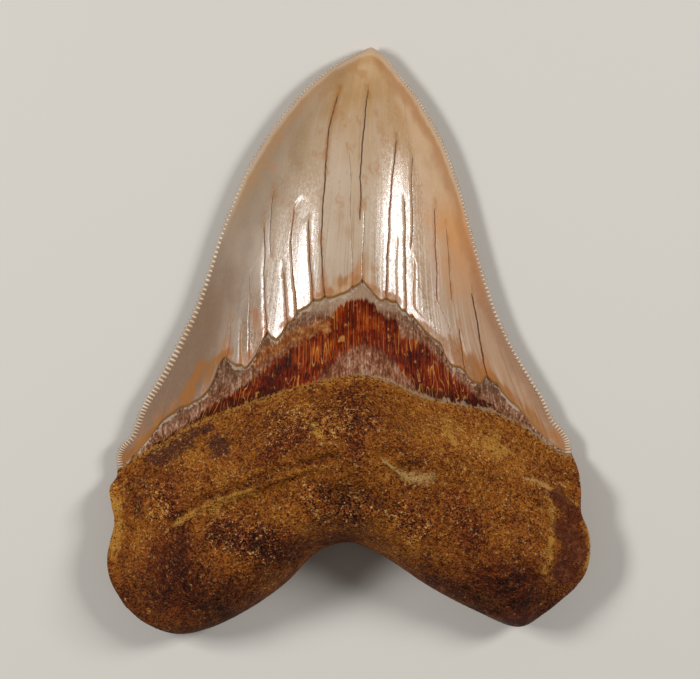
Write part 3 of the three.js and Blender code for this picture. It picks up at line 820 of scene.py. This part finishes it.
def root_points(top, share, rows):
    """Rows that fan out from the root's top line to its whole outline, close at both."""
    even = np.linspace(0, 1, COLUMNS + 1)
    points = []
    for t in np.arange(1, rows + 1) / rows:
        down = blend(t, (1 - math.cos(math.pi * t)) / 2, ROW_EASE)
        at = blend(share, even, smooth(t, 0, FAN_GRIP))
        points.append(blend(on_line(top, at), along(root_outline, at), down))
    return np.array(points)


def nearness(x, y, points, half):
    """How near points are to a line, from 1 on it towards 0."""
    return np.exp(-((distance_to(curve_through(points, 6), x, y) / half) ** 2))


def stain(x, y, lines):
    return np.max([nearness(x, y, points, half) for points, half in lines], axis=0)


# Osteodentine: porous and granular, soaked with ochre and iron from the sediment, so its
# small grains each have a tone of their own, and coarser where the surface crumbles.
GRAIN_ACROSS = 0.42
LUMP_ACROSS = 1.1

osteodentine, tree, shader, values = start_material(
    "osteodentine_in_ochre",
    1.5,
    ("above_root", "pit", *STAINS),
    {
        "clouds": (9, 1, 3, 0), "patches": (2.6, 1, 3, 0), "crumbs": (1.1, 1, 2, 0),
        "specks": (0.4, 1, 1, 0),
    },
)
grains, lumps = (
    add_node(tree, "ShaderNodeTexVoronoi", {"Vector": values["place"], "Scale": 1 / across})
    for across in (GRAIN_ACROSS, LUMP_ACROSS)
)
chances = add_node(tree, "ShaderNodeSeparateColor", {0: (grains, "Color")})
values.update(
    lumps=(lumps, "Color"),
    grain_edge=(grains, "Distance"),
    grain_tone=(chances, "Red"),
    grain_hue=(chances, "Green"),
    grain_glint=(chances, "Blue"),
)
add_masks(tree, values, {
    "low_down": ("y", "clouds", 26, -44, -70),
    "upper_half": ("y", "clouds", 26, -58, -38),
    "crumbling": ("crumbly", "patches", 2.4, 0.2, 1),
    "in_worn": ("worn", "patches", 0.9, 0.3, 0.5),
})
coarse_play = tones(tree, values, 0, crumbs=0.45, specks=0.8, grain_tone=0.25, lumps=0.3)
fine_play = tones(tree, values, 0, specks=0.2, grain_tone=0.12)
tone = tones(
    tree, values, 0.5, clouds=0.4, patches=0.3, crumbs=0.25, specks=0.58, grain_tone=0.3, lumps=0.12
)
# Darker in the pits, along the painted shade lines and towards the base: painted shade.
tone = add_up(tree, values, tone, {
    "crumbling": coarse_play, "upper_half": fine_play, "ochre": 0.16, "painted_shade": -0.22,
    "low_down": -0.2, "pit": -0.2, "russet": -0.1,
})
golden = shades(tree, tone, {
    0: "#1A0C05", 0.2: "#44200A", 0.38: "#6A360E", 0.52: "#874D14", 0.68: "#9C5E18",
    0.84: "#B07426", 1: "#CDA050",
})
values["russet_bone"] = shades(tree, tone, {
    0: "#160704", 0.25: "#411707", 0.45: "#682D0B", 0.65: "#8F4A18", 0.85: "#A8662A",
    1: "#C99A56",
})
base = paint(tree, values, golden, [
    ("russet_bone", ("clouds", "crumbs", 0.5, 0.52, 0.36), 0.55),
    ("russet_bone", ("grain_hue", "patches", 1.6, 0.6, 0.75), 0.7),
    ("russet_bone", ("crumbly", "patches", 1.6, 0.2, 0.8), 0.35),
    ("#A05A14", ("grain_hue", "patches", 0.8, 0.3, 0.15), 0.4),
    # Redder and darker towards the base: partly the root's colour, partly painted shade.
    ("russet_bone", "low_down", 0.5),
    ("russet_bone", ("russet", "patches", 1, 0.3, 0.8), 0.85),
    # gold stain, with painted highlight on the ledges' crests
    ("#BA8435", ("gold_and_painted_highlight", "patches", 2.2, 0.25, 0.9), ("specks", "crumbs", 0.6, 0.3, 0.5), 0.85),
    # pale colour, with painted light on the groove's lit slope
    ("#A0723A", ("cream_and_painted_light", "crumbs", 2.2, 0.2, 0.9), 0.75),
    ("#CBA66A", ("cream_and_painted_light", "specks", 2, 0.5, 1.1), 0.6),
    ("#45251C", ("umber", "patches", 1.4, 0.2, 0.75), ("specks", "crumbs", 0.8, 0.76, 0.5), 0.85),
    ("#C0A468", ("grain_glint", "crumbs", 0.3, 0.97, 1), ("y", "clouds", 26, -68, -46), 0.6),
    ("#1C0D06", ("grain_glint", "crumbs", 0.3, 0.06, 0.03), 0.6),
    ("#521F0B", "in_worn", 0.85),
    ("#7A3F1A", "in_worn", ("patches", "crumbs", 0.7, 0.52, 0.62), 0.5),
    ("#2E1009", "in_worn", ("crumbs", "specks", 0.7, 0.45, 0.32), 0.5),
    ("#AE7A36", ("above_root", "crumbs", 2.6, -1.2, -0.4), ("grain_tone", "crumbs", 1, 0.3, 0.6),
     0.7),
    ("#A08466", ("above_root", "crumbs", 2.6, -0.5, 0.2), ("x", "clouds", 6, 0, 6), 0.7),
    ("#D9C08C", ("specks", "crumbs", 0.9, 0.72, 0.8), ("crumbly", "patches", 2.4, 0, 0.5), 0.7),
])
smoothness = add_up(tree, values, 0.68, {"worn": -0.28})
set_inputs(
    tree, shader, {"Base Color": base, "Roughness": smoothness, "Specular IOR Level": 0.12}
)
carve(tree, shader, values, specks=0.25, crumbs=0.4, patches=0.8, grain_edge=-0.25)

# The tooth as it grew, in one closed skin: the crown, the bourlette and the root of its
# domed lingual face, and the flat labial face, which has no bourlette, meet at the rim.
CROWN_ROWS = 145
ROOT_ROWS = 92
LABIAL_ROOT_ROWS = 50
ROOT_ROUND = 13
ROUND_RUN = 5
LABIAL_POWER = 2.2
TIP_LIFT = 2.2
TIP_LIFT_RUN = 26
LABIAL_ROOT_FROM = -1  # the root's shape begins here, above the labial foot
ROOT_UNDER_ROUND = 9
BASAL_HOLLOW = ((2, -24), (20, 9), 2)
CONTACT_SINK = 0.3
UNEVENNESS = 0.5
UNEVEN_WAVES = ((7, 0.5), (2.6, 0.3), (1.2, 0.2))  # size in mm, and share of the unevenness
PIT_DEPTH = 0.5
PIT_SPACING = 3.2
PIT_EDGE = (0.32, 0.05)  # where in its cell a pit begins, and where it is as deep as it gets
LABIAL_CRACK_DROP = 4  # the labial cracks lie so much lower, and are so dark beside the others
LABIAL_CRACK_DARK = 0.8
HALO = 1.4  # half width of the stain beside a crack, in widths of the crack
ROUGH_FROM_TOP = (0.5, 3)  # where the root's roughness comes in, from its top and its rim
ROUGH_FROM_RIM = (0, 2.5)
WORN_SMOOTH = 0.8  # share of the roughness that is gone where the root is worn
# Growth lines fan out between two lines well outside the crown.
FAN_LEFT = [(-15, 75), (-44, 51.6), (-57, 25.3), (-67, -0.8), (-79, -24), (-87, -40)]
FAN_RIGHT = [(26, 75), (48, 48.6), (56, 25.3), (63, 2), (76, -20), (87, -40)]
FAN_WIDTH = 130
LABIAL_FAN = 40  # far enough away for the labial face to have growth lines of its own


def lingual_height(x, y):
    below = below_root_top(x, y)
    crown = dome(x, y) - np.where(y < height_at(enamel_foot, x), band_dip(x, y), 0)
    full = crown + root_swell(x, y, below)
    rim = rim_height(x, y)
    round_off = rounding(distance_to(root_outline, x, y), ROOT_ROUND)
    root = rim + (full - rim) * blend(1, round_off, smooth(below, 0, ROUND_RUN))
    cut = sum(depth * nearness(x, y, points, half) for points, half, depth in FURROWS)
    return np.where(below > 0, root - cut * round_off, crown)


def labial_height(x, y):
    rise = (1 - in_from_edge(x, y)) ** LABIAL_POWER
    lift = TIP_LIFT * smooth(y, TIP[1] - TIP_LIFT_RUN, TIP[1])
    crown = blend(lift, EDGE_Z, rise)
    under = rim_height(x, y) * (1 - rounding(distance_to(root_outline, x, y), ROOT_UNDER_ROUND))
    share = smooth(height_at(labial_foot, x) - y, LABIAL_ROOT_FROM, RIM_RUN)
    relief = bump(x, y, *BASAL_HOLLOW) + share * slow_lumps(x + LUMP_WAVE, y)
    return np.maximum(0, blend(crown, under, share) + relief - CONTACT_SINK * (1 - rise))


def raise_grid(grid, height, marks, side):
    """A face's points with their heights, and how open the crack is at each."""
    x, y = grid[..., 0], grid[..., 1]
    z = height(x, y)
    crack, rise = marks
    opening = np.zeros(x.shape)
    opening[: len(crack)] = crack
    z[: len(crack)] += side * rise
    rim = rim_height(x, y)
    z[:, 0], z[:, -1], z[-1] = rim[:, 0], rim[:, -1], rim[-1]
    return np.stack([x, y, z], axis=-1), opening


def grid_triangles(rows, first, face_up):
    """Triangles of a grid of points, and the row that each is in."""
    index = first + np.arange(rows * (COLUMNS + 1)).reshape(rows, COLUMNS + 1)
    a, b = index[:-1, :-1].ravel(), index[:-1, 1:].ravel()
    c, d = index[1:, :-1].ravel(), index[1:, 1:].ravel()
    corners = [(a, c, d), (a, d, b)] if face_up else [(a, d, c), (a, b, d)]
    triangles = np.concatenate([np.stack(three, axis=-1) for three in corners])
    return triangles, np.tile(np.repeat(np.arange(rows - 1), COLUMNS), 2)


down = np.linspace(0, 1, CROWN_ROWS + 1)
share, *marks = place_columns(CRACKS, enamel_foot, down)
crown_grid = crown_points(enamel_foot, share, down)
root_grid = root_points(root_top, share[-1], ROOT_ROWS)
grid = np.concatenate([crown_grid, band_points(share[-1]), root_grid])
lingual, lingual_opening = raise_grid(grid, lingual_height, marks, 1)
mirrored = [
    ([(-x, y - LABIAL_CRACK_DROP) for x, y in line], width, LABIAL_CRACK_DARK * darkness, 0)
    for line, width, darkness, _ in reversed(CRACKS)
]
share, *marks = place_columns(mirrored, labial_foot, down)
crown_grid = crown_points(labial_foot, share, down)
grid = np.concatenate([crown_grid, root_points(labial_foot, share[-1], LABIAL_ROOT_ROWS)])
labial, labial_opening = raise_grid(grid, labial_height, marks, -1)

up_faces, up_rows = grid_triangles(len(lingual), 0, True)
down_faces, down_rows = grid_triangles(len(labial), lingual_opening.size, False)
points = np.concatenate([lingual.reshape(-1, 3), labial.reshape(-1, 3)])
_, kept, merged = np.unique(np.round(points, 4), axis=0, return_index=True, return_inverse=True)
triangles = merged.reshape(-1)[np.concatenate([up_faces, down_faces])]
slots = np.concatenate([
    np.digitize(up_rows, [CROWN_ROWS + STEP_ROWS, CROWN_ROWS + BAND_ROWS]),
    np.where(down_rows < CROWN_ROWS, 0, 2),
])
whole = (triangles != np.roll(triangles, 1, axis=1)).all(axis=1)

# The frame gives where the tooth lies: the middle of its outline goes to that of its node.
low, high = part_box("tooth")
outline = np.vstack([left_edge, right_edge, root_outline])
node_middle = np.array([low.x + high.x, low.y + high.y]) / 2 / MM
shift = node_middle - (outline.min(axis=0) + outline.max(axis=0)) / 2
to_frame = np.array([*shift, low.z / MM])

points = points[kept]
in_box = np.clip((points + to_frame) * MM, low, high)
mesh = bpy.data.meshes.new("tooth_skin")
mesh.from_pydata(in_box.tolist(), [], triangles[whole].tolist(), shade_flat=False)
mesh.polygons.foreach_set("material_index", slots[whole])
for material in (enameloid, dentine, osteodentine):
    mesh.materials.append(material)

x, y, z = points.T
labial_side = kept >= lingual_opening.size
foot = np.where(labial_side, height_at(labial_foot, x), height_at(enamel_foot, x))
root_line = np.where(labial_side, height_at(labial_foot, x), height_at(root_top, x))
halos = [darkness * nearness(x, y, line, HALO * width) for line, width, darkness, _ in CRACKS]
attributes = {
    "from_edge": np.minimum(distance_to(left_edge, x, y), distance_to(right_edge, x, y)),
    "flank": 2 * share_between(x, y, left_edge, right_edge) - 1,
    "above_foot": (y - foot) * SLOPE_FACTOR,
    "crack": np.concatenate([lingual_opening.ravel(), labial_opening.ravel()])[kept],
    "halo": np.max(halos, axis=0) * ~labial_side,
    "above_crust_foot": (y - height_at(crust_foot, x)) * SLOPE_FACTOR,
    "above_root": (y - root_line) * SLOPE_FACTOR,
    "mauve": MAUVE_HEIGHT * (1 - ((x - MAUVE_MIDDLE) / MAUVE_HALF) ** 2) - (y - root_line),
}
for name, lines in {"rust": RUST, **BAND_STAINS, **STAINS}.items():
    attributes[name] = stain(x, y, lines) * ~labial_side
on_root = smooth(root_line - y, *ROUGH_FROM_TOP)
on_root *= smooth(distance_to(root_outline, x, y), *ROUGH_FROM_RIM)
attributes["on_root"] = on_root * (1 - WORN_SMOOTH * attributes["worn"])
for name, amounts in attributes.items():
    attribute = mesh.attributes.new(name, "FLOAT", "POINT")
    attribute.data.foreach_set("value", amounts.astype(np.float32))
fan_share = share_between(x, y, curve_through(FAN_LEFT), curve_through(FAN_RIGHT))
fan_lines = np.stack([(fan_share - 0.5) * FAN_WIDTH, y, labial_side * LABIAL_FAN], axis=-1)
attribute = mesh.attributes.new("fan", "FLOAT_VECTOR", "POINT")
attribute.data.foreach_set("vector", fan_lines.astype(np.float32).ravel())

# The cutting edge stays sharp under the smooth shading. Its points lie almost exactly on its
# line and at its height, and the root doesn't reach them.
EDGE_SLACK = 0.05
HEIGHT_SLACK = 0.001
OFF_ROOT = 0.01
at_rim = (attributes["from_edge"] < NOTCH + EDGE_SLACK) & (on_root < OFF_ROOT)
at_rim &= np.abs(z - rim_height(x, y)) < HEIGHT_SLACK
ends = np.zeros(len(mesh.edges) * 2, int)
mesh.edges.foreach_get("vertices", ends)
sharp = mesh.attributes.new("sharp_edge", "BOOLEAN", "EDGE")
sharp.data.foreach_set("value", at_rim[ends.reshape(-1, 2)].all(axis=1))
mesh.validate()


def add_object(name, data):
    thing = bpy.data.objects.new(name, data)
    bpy.context.scene.collection.objects.link(thing)
    return thing


def start_tree(name, source, sizes, result):
    """A node tree that makes one geometry out of another, with its sizes as inputs."""
    tree = bpy.data.node_groups.new(name, "GeometryNodeTree")
    tree.interface.new_socket(source, in_out="INPUT", socket_type="NodeSocketGeometry")
    for label in sizes:
        tree.interface.new_socket(label, in_out="INPUT", socket_type="NodeSocketFloat")
    tree.interface.new_socket(result, in_out="OUTPUT", socket_type="NodeSocketGeometry")
    return tree, add_node(tree, "NodeGroupInput")


def run_tree(tree, source, sizes, name):
    """Runs a node tree on an object and returns the result as a plain mesh object."""
    modifier = source.modifiers.new(tree.name, "NODES")
    modifier.node_group = tree
    for label, value in sizes.items():
        modifier[find_socket(tree.interface.items_tree, label).identifier] = value
    graph = bpy.context.evaluated_depsgraph_get()
    result = bpy.data.meshes.new_from_object(
        source.evaluated_get(graph), preserve_all_data_layers=True, depsgraph=graph
    )
    source.modifiers.remove(modifier)
    result.name = name
    return add_object(name, result)


# The root's roughness: uneven at three scales and eaten by small pits, always inwards.
sizes = {"unevenness": UNEVENNESS * MM, "pit_depth": PIT_DEPTH * MM, "pit_spacing": PIT_SPACING * MM}
relief, given = start_tree("root_relief", "Skin", sizes, "Rough skin")
rough = add_node(relief, "GeometryNodeInputNamedAttribute", {"Name": "on_root"}, data_type="FLOAT")
depth = 0.0
for size, share in UNEVEN_WAVES:
    noise = add_node(relief, "ShaderNodeTexNoise", {"Scale": 1 / (size * MM), "Detail": 1})
    inputs = {0: noise, 1: share, 2: depth}
    depth = add_node(relief, "ShaderNodeMath", inputs, operation="MULTIPLY_ADD")
inputs = {0: depth, 1: (given, "unevenness")}
depth = add_node(relief, "ShaderNodeMath", inputs, operation="MULTIPLY")
inputs = {0: 1, 1: (given, "pit_spacing")}
pit_scale = add_node(relief, "ShaderNodeMath", inputs, operation="DIVIDE")
cells = add_node(relief, "ShaderNodeTexVoronoi", {"Scale": pit_scale})
inputs = {"Value": (cells, "Distance"), "From Min": PIT_EDGE[0], "From Max": PIT_EDGE[1]}
pit = add_node(relief, "ShaderNodeMapRange", inputs, interpolation_type="SMOOTHSTEP")
pit = add_node(relief, "ShaderNodeMath", {0: pit, 1: rough}, operation="MULTIPLY")
inputs = {0: pit, 1: (given, "pit_depth"), 2: depth}
depth = add_node(relief, "ShaderNodeMath", inputs, operation="MULTIPLY_ADD")
depth = add_node(relief, "ShaderNodeMath", {0: depth, 1: rough}, operation="MULTIPLY")
normal = add_node(relief, "GeometryNodeInputNormal")
inwards = add_node(relief, "ShaderNodeVectorMath", {0: normal, "Scale": -1}, operation="SCALE")
offset = add_node(relief, "ShaderNodeVectorMath", {0: inwards, "Scale": depth}, operation="SCALE")
inputs = {"Geometry": (given, "Skin"), "Name": "pit", "Value": pit}
stored = add_node(relief, "GeometryNodeStoreNamedAttribute", inputs, data_type="FLOAT", domain="POINT")
moved = add_node(relief, "GeometryNodeSetPosition", {"Geometry": stored, "Offset": offset})
add_node(relief, "NodeGroupOutput", {"Rough skin": moved})

skin = add_object("tooth_skin", mesh)
tooth = run_tree(relief, skin, sizes, "tooth_body")
bpy.data.objects.remove(skin)
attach(tooth, "root")
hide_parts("tooth")

# Serrations. Each cutting edge is a row of enameloid beads, finer towards the tip, which saw
# through flesh. A bead is longer inwards than it is wide and merges with the crown there.
BEAD_LENGTH = 2.5
BEAD_HEIGHT = 1.15
BEAD_FILL = 0.76  # share of the pitch that a bead takes
BEAD_TILT = 13  # degrees by which a bead follows the rising middle of the edge
BEADS_FROM = 0.4  # mm from the tip to the first bead, and from the last one to the corner
BEADS_TO = 0.5
# At distances from the tip: the pitch, and the beads' length and height beside the largest.
LEFT_BEADS = [
    (0, 0.78, 0.4, 0.5), (20, 0.9, 0.8, 1), (60, 1.2, 1, 1), (94, 1.15, 1, 1),
    (108, 0.85, 0.9, 0.8), (120, 0.7, 0.8, 0.65), (134, 0.5, 0.7, 0.55),
]
RIGHT_BEADS = [
    (0, 0.7, 0.4, 0.5), (20, 0.8, 0.5, 0.8), (60, 1.05, 0.5, 0.8), (94, 1, 0.5, 0.75),
    (108, 0.75, 0.8, 0.6), (134, 0.6, 0.9, 0.5),
]

# Enameloid of the beads: their crests are painted pale as a highlight, and their sides, where
# neighbouring beads meet, painted dark as shade.
enameloid_bead, tree, shader, values = start_material(
    "enameloid_with_painted_light", 1.62, ("crest",), {"grit": (0.5, 1, 2, 0), "clouds": (6, 1, 2, 0)}
)
ivory = shades(tree, values["clouds"], {0.35: "#C09E7A", 0.65: "#DCC8AE"})
base = paint(tree, values, ivory, [
    # painted shade on the beads' sides
    ("#7C5A42", ("crest", "grit", 0.3, 0.6, 0.25), 0.85),
    # painted highlight on the beads' crests
    ("#EAD8BE", ("crest", "grit", 0.3, 0.75, 1), 0.6),
])
set_inputs(tree, shader, {"Base Color": base, "Roughness": 0.28})
carve(tree, shader, values, grit=0.05)


def bead_places(edge, beads):
    """A point on a cutting edge for each bead, with the bead's pitch, length and height."""
    run = run_along(edge)
    stops, *sizes = zip(*beads)
    at = [BEADS_FROM]
    while at[-1] < run[-1] - BEADS_TO:
        at.append(at[-1] + np.interp(at[-1], stops, sizes[0]))
    at = np.array(at[:-1])
    return along(edge, at / run[-1]), np.stack([np.interp(at, stops, size) for size in sizes], axis=-1)


left_places, left_sizes = bead_places(left_edge, LEFT_BEADS)
right_places, right_sizes = bead_places(right_edge, RIGHT_BEADS)
places = np.vstack([right_places[::-1], left_places])
bead_sizes = np.vstack([right_sizes[::-1], left_sizes])
places = np.column_stack([places, rim_height(*places.T)])
row = bpy.data.meshes.new("serration_path")
steps = [(i, i + 1) for i in range(len(places) - 1)]
row.from_pydata(((places + to_frame) * MM).tolist(), steps, [])
attribute = row.attributes.new("bead_size", "FLOAT_VECTOR", "POINT")
attribute.data.foreach_set("vector", bead_sizes.astype(np.float32).ravel())
path = add_object("serration_path", row)

sizes = {
    "bead_width": BEAD_FILL * MM, "bead_length": BEAD_LENGTH * MM, "bead_height": BEAD_HEIGHT * MM,
    "tilt": math.radians(BEAD_TILT),
}
serrate, given = start_tree("serrations", "Path", sizes, "Beads")
ball = add_node(serrate, "GeometryNodeMeshUVSphere", {"Segments": 8, "Rings": 5, "Radius": 0.5})
place = add_node(serrate, "GeometryNodeInputPosition")
axes = add_node(serrate, "ShaderNodeSeparateXYZ", {0: place})
crest = add_node(serrate, "ShaderNodeMath", {0: (axes, "Z"), 1: 2}, operation="MULTIPLY")
crest = add_node(serrate, "ShaderNodeMath", {0: crest}, operation="ABSOLUTE")
inputs = {"Geometry": (ball, "Mesh"), "Name": "crest", "Value": crest}
ball = add_node(serrate, "GeometryNodeStoreNamedAttribute", inputs, data_type="FLOAT", domain="POINT")
ball = add_node(serrate, "GeometryNodeSetShadeSmooth", {"Geometry": ball})
inputs = {"X": (given, "bead_width"), "Y": (given, "bead_length"), "Z": (given, "bead_height")}
shape = add_node(serrate, "ShaderNodeCombineXYZ", inputs)
inputs = {0: (given, "bead_length"), 1: 0.5}
half = add_node(serrate, "ShaderNodeMath", inputs, operation="MULTIPLY")
inset = add_node(serrate, "ShaderNodeCombineXYZ", {"Y": half})
turn = add_node(serrate, "ShaderNodeCombineXYZ", {"X": (given, "tilt")})
inputs = {"Geometry": ball, "Scale": shape, "Translation": inset}
bead = add_node(serrate, "GeometryNodeTransform", inputs)
bead = add_node(serrate, "GeometryNodeTransform", {"Geometry": bead, "Rotation": turn})
curve = add_node(serrate, "GeometryNodeMeshToCurve", {"Mesh": (given, "Path")})
inputs = {"Vector": add_node(serrate, "GeometryNodeInputTangent")}
facing = add_node(serrate, "FunctionNodeAlignRotationToVector", inputs, axis="X", pivot_axis="Z")
inputs = {"Name": "bead_size"}
size = add_node(serrate, "GeometryNodeInputNamedAttribute", inputs, data_type="FLOAT_VECTOR")
inputs = {"Points": curve, "Instance": bead, "Rotation": facing, "Scale": size}
beads = add_node(serrate, "GeometryNodeInstanceOnPoints", inputs)
beads = add_node(serrate, "GeometryNodeRealizeInstances", {"Geometry": beads})
inputs = {"Geometry": beads, "Material": enameloid_bead}
beads = add_node(serrate, "GeometryNodeSetMaterial", inputs)
add_node(serrate, "NodeGroupOutput", {"Beads": beads})
serrations = run_tree(serrate, path, sizes, "serrations")
bpy.data.objects.remove(path)
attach(serrations, "root")
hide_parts("tooth")

# Root grains. Quartz sand and crumbs of ochre from the sediment that the root lay in, set
# firmly in its rough surface.
GRAIN = (0.25, 0.6)
GRAIN_SHAPE = ((0.6, 0.6, 0.5), (1.2, 1.0, 0.9))  # its least and its greatest stretch
FULL_TURN = 6.28
GRAIN_SPACING = 0.8
GRAIN_DENSITY = 1.1  # grains for each square millimetre where the surface crumbles
FEW_GRAINS = 0.2  # the share of that elsewhere
PLAIN_TINT = 0.65  # how far up their colours the grains go there
WELL_ON_ROOT = 0.95
GRAIN_SEED = 7
GRAIN_FLOOR = 1.0  # no grain sits lower than this, so none lifts the tooth off its rest

# Quartz sand and ochre: clear grains in a coat of iron stain, a few of them left pale.
sand, tree, shader, values = start_material("quartz_sand_and_ochre", 1.54, ("tint",), {})
grain_colours = shades(tree, values["tint"], {
    0: "#241106", 0.35: "#5A300C", 0.6: "#7E4A16", 0.85: "#945420", 0.94: "#AD7F42", 1: "#C9AE7C",
})
set_inputs(
    tree, shader, {"Base Color": grain_colours, "Roughness": 0.45, "Specular IOR Level": 0.2}
)

sizes = {
    "smallest": GRAIN[0] * MM, "largest": GRAIN[1] * MM, "spacing": GRAIN_SPACING * MM,
    "density": GRAIN_DENSITY / MM**2, "few": FEW_GRAINS, "lowest": low.z + GRAIN_FLOOR * MM,
}
sprinkle, given = start_tree("root_grains", "Tooth", sizes, "Grains")
rough = add_node(sprinkle, "GeometryNodeInputNamedAttribute", {"Name": "on_root"}, data_type="FLOAT")
inputs = {0: rough, 1: WELL_ON_ROOT}
there = add_node(sprinkle, "ShaderNodeMath", inputs, operation="GREATER_THAN")
place = add_node(sprinkle, "GeometryNodeInputPosition")
axes = add_node(sprinkle, "ShaderNodeSeparateXYZ", {0: place})
inputs = {0: (axes, "Z"), 1: (given, "lowest")}
high_up = add_node(sprinkle, "ShaderNodeMath", inputs, operation="GREATER_THAN")
there = add_node(sprinkle, "ShaderNodeMath", {0: there, 1: high_up}, operation="MULTIPLY")
inputs = {"Name": "crumbly"}
crumbly = add_node(sprinkle, "GeometryNodeInputNamedAttribute", inputs, data_type="FLOAT")
inputs = {0: crumbly, 1: (given, "few")}
share = add_node(sprinkle, "ShaderNodeMath", inputs, operation="MAXIMUM")
inputs = {
    "Mesh": (given, "Tooth"), "Selection": there, "Distance Min": (given, "spacing"),
    "Density Max": (given, "density"), "Density Factor": share, "Seed": GRAIN_SEED,
}
spread = add_node(
    sprinkle, "GeometryNodeDistributePointsOnFaces", inputs, distribute_method="POISSON"
)
grain = add_node(sprinkle, "GeometryNodeMeshIcoSphere", {"Radius": 0.5, "Subdivisions": 1})
inputs = {"Min_001": (given, "smallest"), "Max_001": (given, "largest"), "Seed": GRAIN_SEED + 1}
wide = add_node(sprinkle, "FunctionNodeRandomValue", inputs, data_type="FLOAT")
inputs = {"Min": GRAIN_SHAPE[0], "Max": GRAIN_SHAPE[1], "Seed": GRAIN_SEED + 2}
squash = add_node(sprinkle, "FunctionNodeRandomValue", inputs, data_type="FLOAT_VECTOR")
inputs = {0: squash, "Scale": (wide, "Value_001")}
size = add_node(sprinkle, "ShaderNodeVectorMath", inputs, operation="SCALE")
inputs = {"Min": (0, 0, 0), "Max": (FULL_TURN, FULL_TURN, FULL_TURN), "Seed": GRAIN_SEED + 3}
spin = add_node(sprinkle, "FunctionNodeRandomValue", inputs, data_type="FLOAT_VECTOR")
inputs = {"Points": (spread, "Points"), "Instance": grain, "Rotation": spin, "Scale": size}
grains = add_node(sprinkle, "GeometryNodeInstanceOnPoints", inputs)
inputs = {"Min_001": 0, "Max_001": 1, "Seed": GRAIN_SEED + 4}
tint = add_node(sprinkle, "FunctionNodeRandomValue", inputs, data_type="FLOAT")
highest = add_node(sprinkle, "ShaderNodeMapRange", {"Value": crumbly, "To Min": PLAIN_TINT})
inputs = {0: (tint, "Value_001"), 1: highest}
tint = add_node(sprinkle, "ShaderNodeMath", inputs, operation="MULTIPLY")
inputs = {"Geometry": grains, "Name": "tint", "Value": tint}
grains = add_node(
    sprinkle, "GeometryNodeStoreNamedAttribute", inputs, data_type="FLOAT", domain="INSTANCE"
)
grains = add_node(sprinkle, "GeometryNodeRealizeInstances", {"Geometry": grains})
grains = add_node(sprinkle, "GeometryNodeSetMaterial", {"Geometry": grains, "Material": sand})
add_node(sprinkle, "NodeGroupOutput", {"Grains": grains})
root_grains = run_tree(sprinkle, tooth, sizes, "root_grains")
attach(root_grains, "root")
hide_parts("tooth")

# Floor, lights and camera. A pale matt board, two tall soft boxes whose reflections are the
# white streaks on the crown, a soft sky, and a camera that looks straight down.
FLOOR_HALF = 1.5
FLOOR_GAP = 0.00005  # metres between the floor and the tooth, so that they don't share a plane
PHOTO_WIDTH_MM = 169.9
CAMERA_DISTANCE = 2.0
CAMERA_TARGET = (0.3, 0.18, 5)
SENSOR = 36
BOX_DISTANCE = 1.0
# For the box on the left and the one on the right: width, height, watts for each square metre,
# and the degrees by which it stands out from straight up, sideways and towards the tip.
BOXES = {-1: (0.36, 0.2, 84, 47, 9), 1: (0.22, 0.36, 70, 47.5, 14)}
SKY = 0.15

board = bpy.data.materials.new("matt_board")
board.use_nodes = True
shader = board.node_tree.nodes["Principled BSDF"]
set_inputs(board.node_tree, shader, {"Base Color": linear("#DAD6CE"), "Roughness": 0.9})
sheet = bpy.data.meshes.new("floor")
corners = [(-1, -1), (1, -1), (1, 1), (-1, 1)]
sheet.from_pydata([(FLOOR_HALF * x, FLOOR_HALF * y, 0) for x, y in corners], [], [(0, 1, 2, 3)])
sheet.materials.append(board)
floor = add_object("floor", sheet)
floor.location.z = low.z - FLOOR_GAP

target = Vector(CAMERA_TARGET) * MM
for side, (width, height, glow, lean, tip_lean) in BOXES.items():
    lamp = bpy.data.lights.new("soft_box", "AREA")
    lamp.shape = "RECTANGLE"
    lamp.size, lamp.size_y = width, height
    lamp.energy = glow * width * height
    box = add_object("soft_box", lamp)
    lean, tip_lean = math.radians(lean), math.radians(tip_lean)
    direction = Vector((side * math.sin(lean), math.sin(tip_lean), math.cos(lean))).normalized()
    box.location = target + direction * BOX_DISTANCE
    box.rotation_euler = direction.to_track_quat("Z", "Y").to_euler()

world = bpy.data.worlds.new("soft_sky")
world.use_nodes = True
background = world.node_tree.nodes["Background"]
set_inputs(world.node_tree, background, {"Color": linear("#F3EFE8"), "Strength": SKY})
bpy.context.scene.world = world
bpy.context.scene.view_settings.view_transform = "Standard"

lens = bpy.data.cameras.new("camera")
lens.sensor_width = SENSOR
lens.lens = SENSOR * CAMERA_DISTANCE / (PHOTO_WIDTH_MM * MM)
lens.clip_end = 10
camera = add_object("camera", lens)
camera.location = target + Vector((0, 0, CAMERA_DISTANCE))
bpy.context.scene.camera = camera
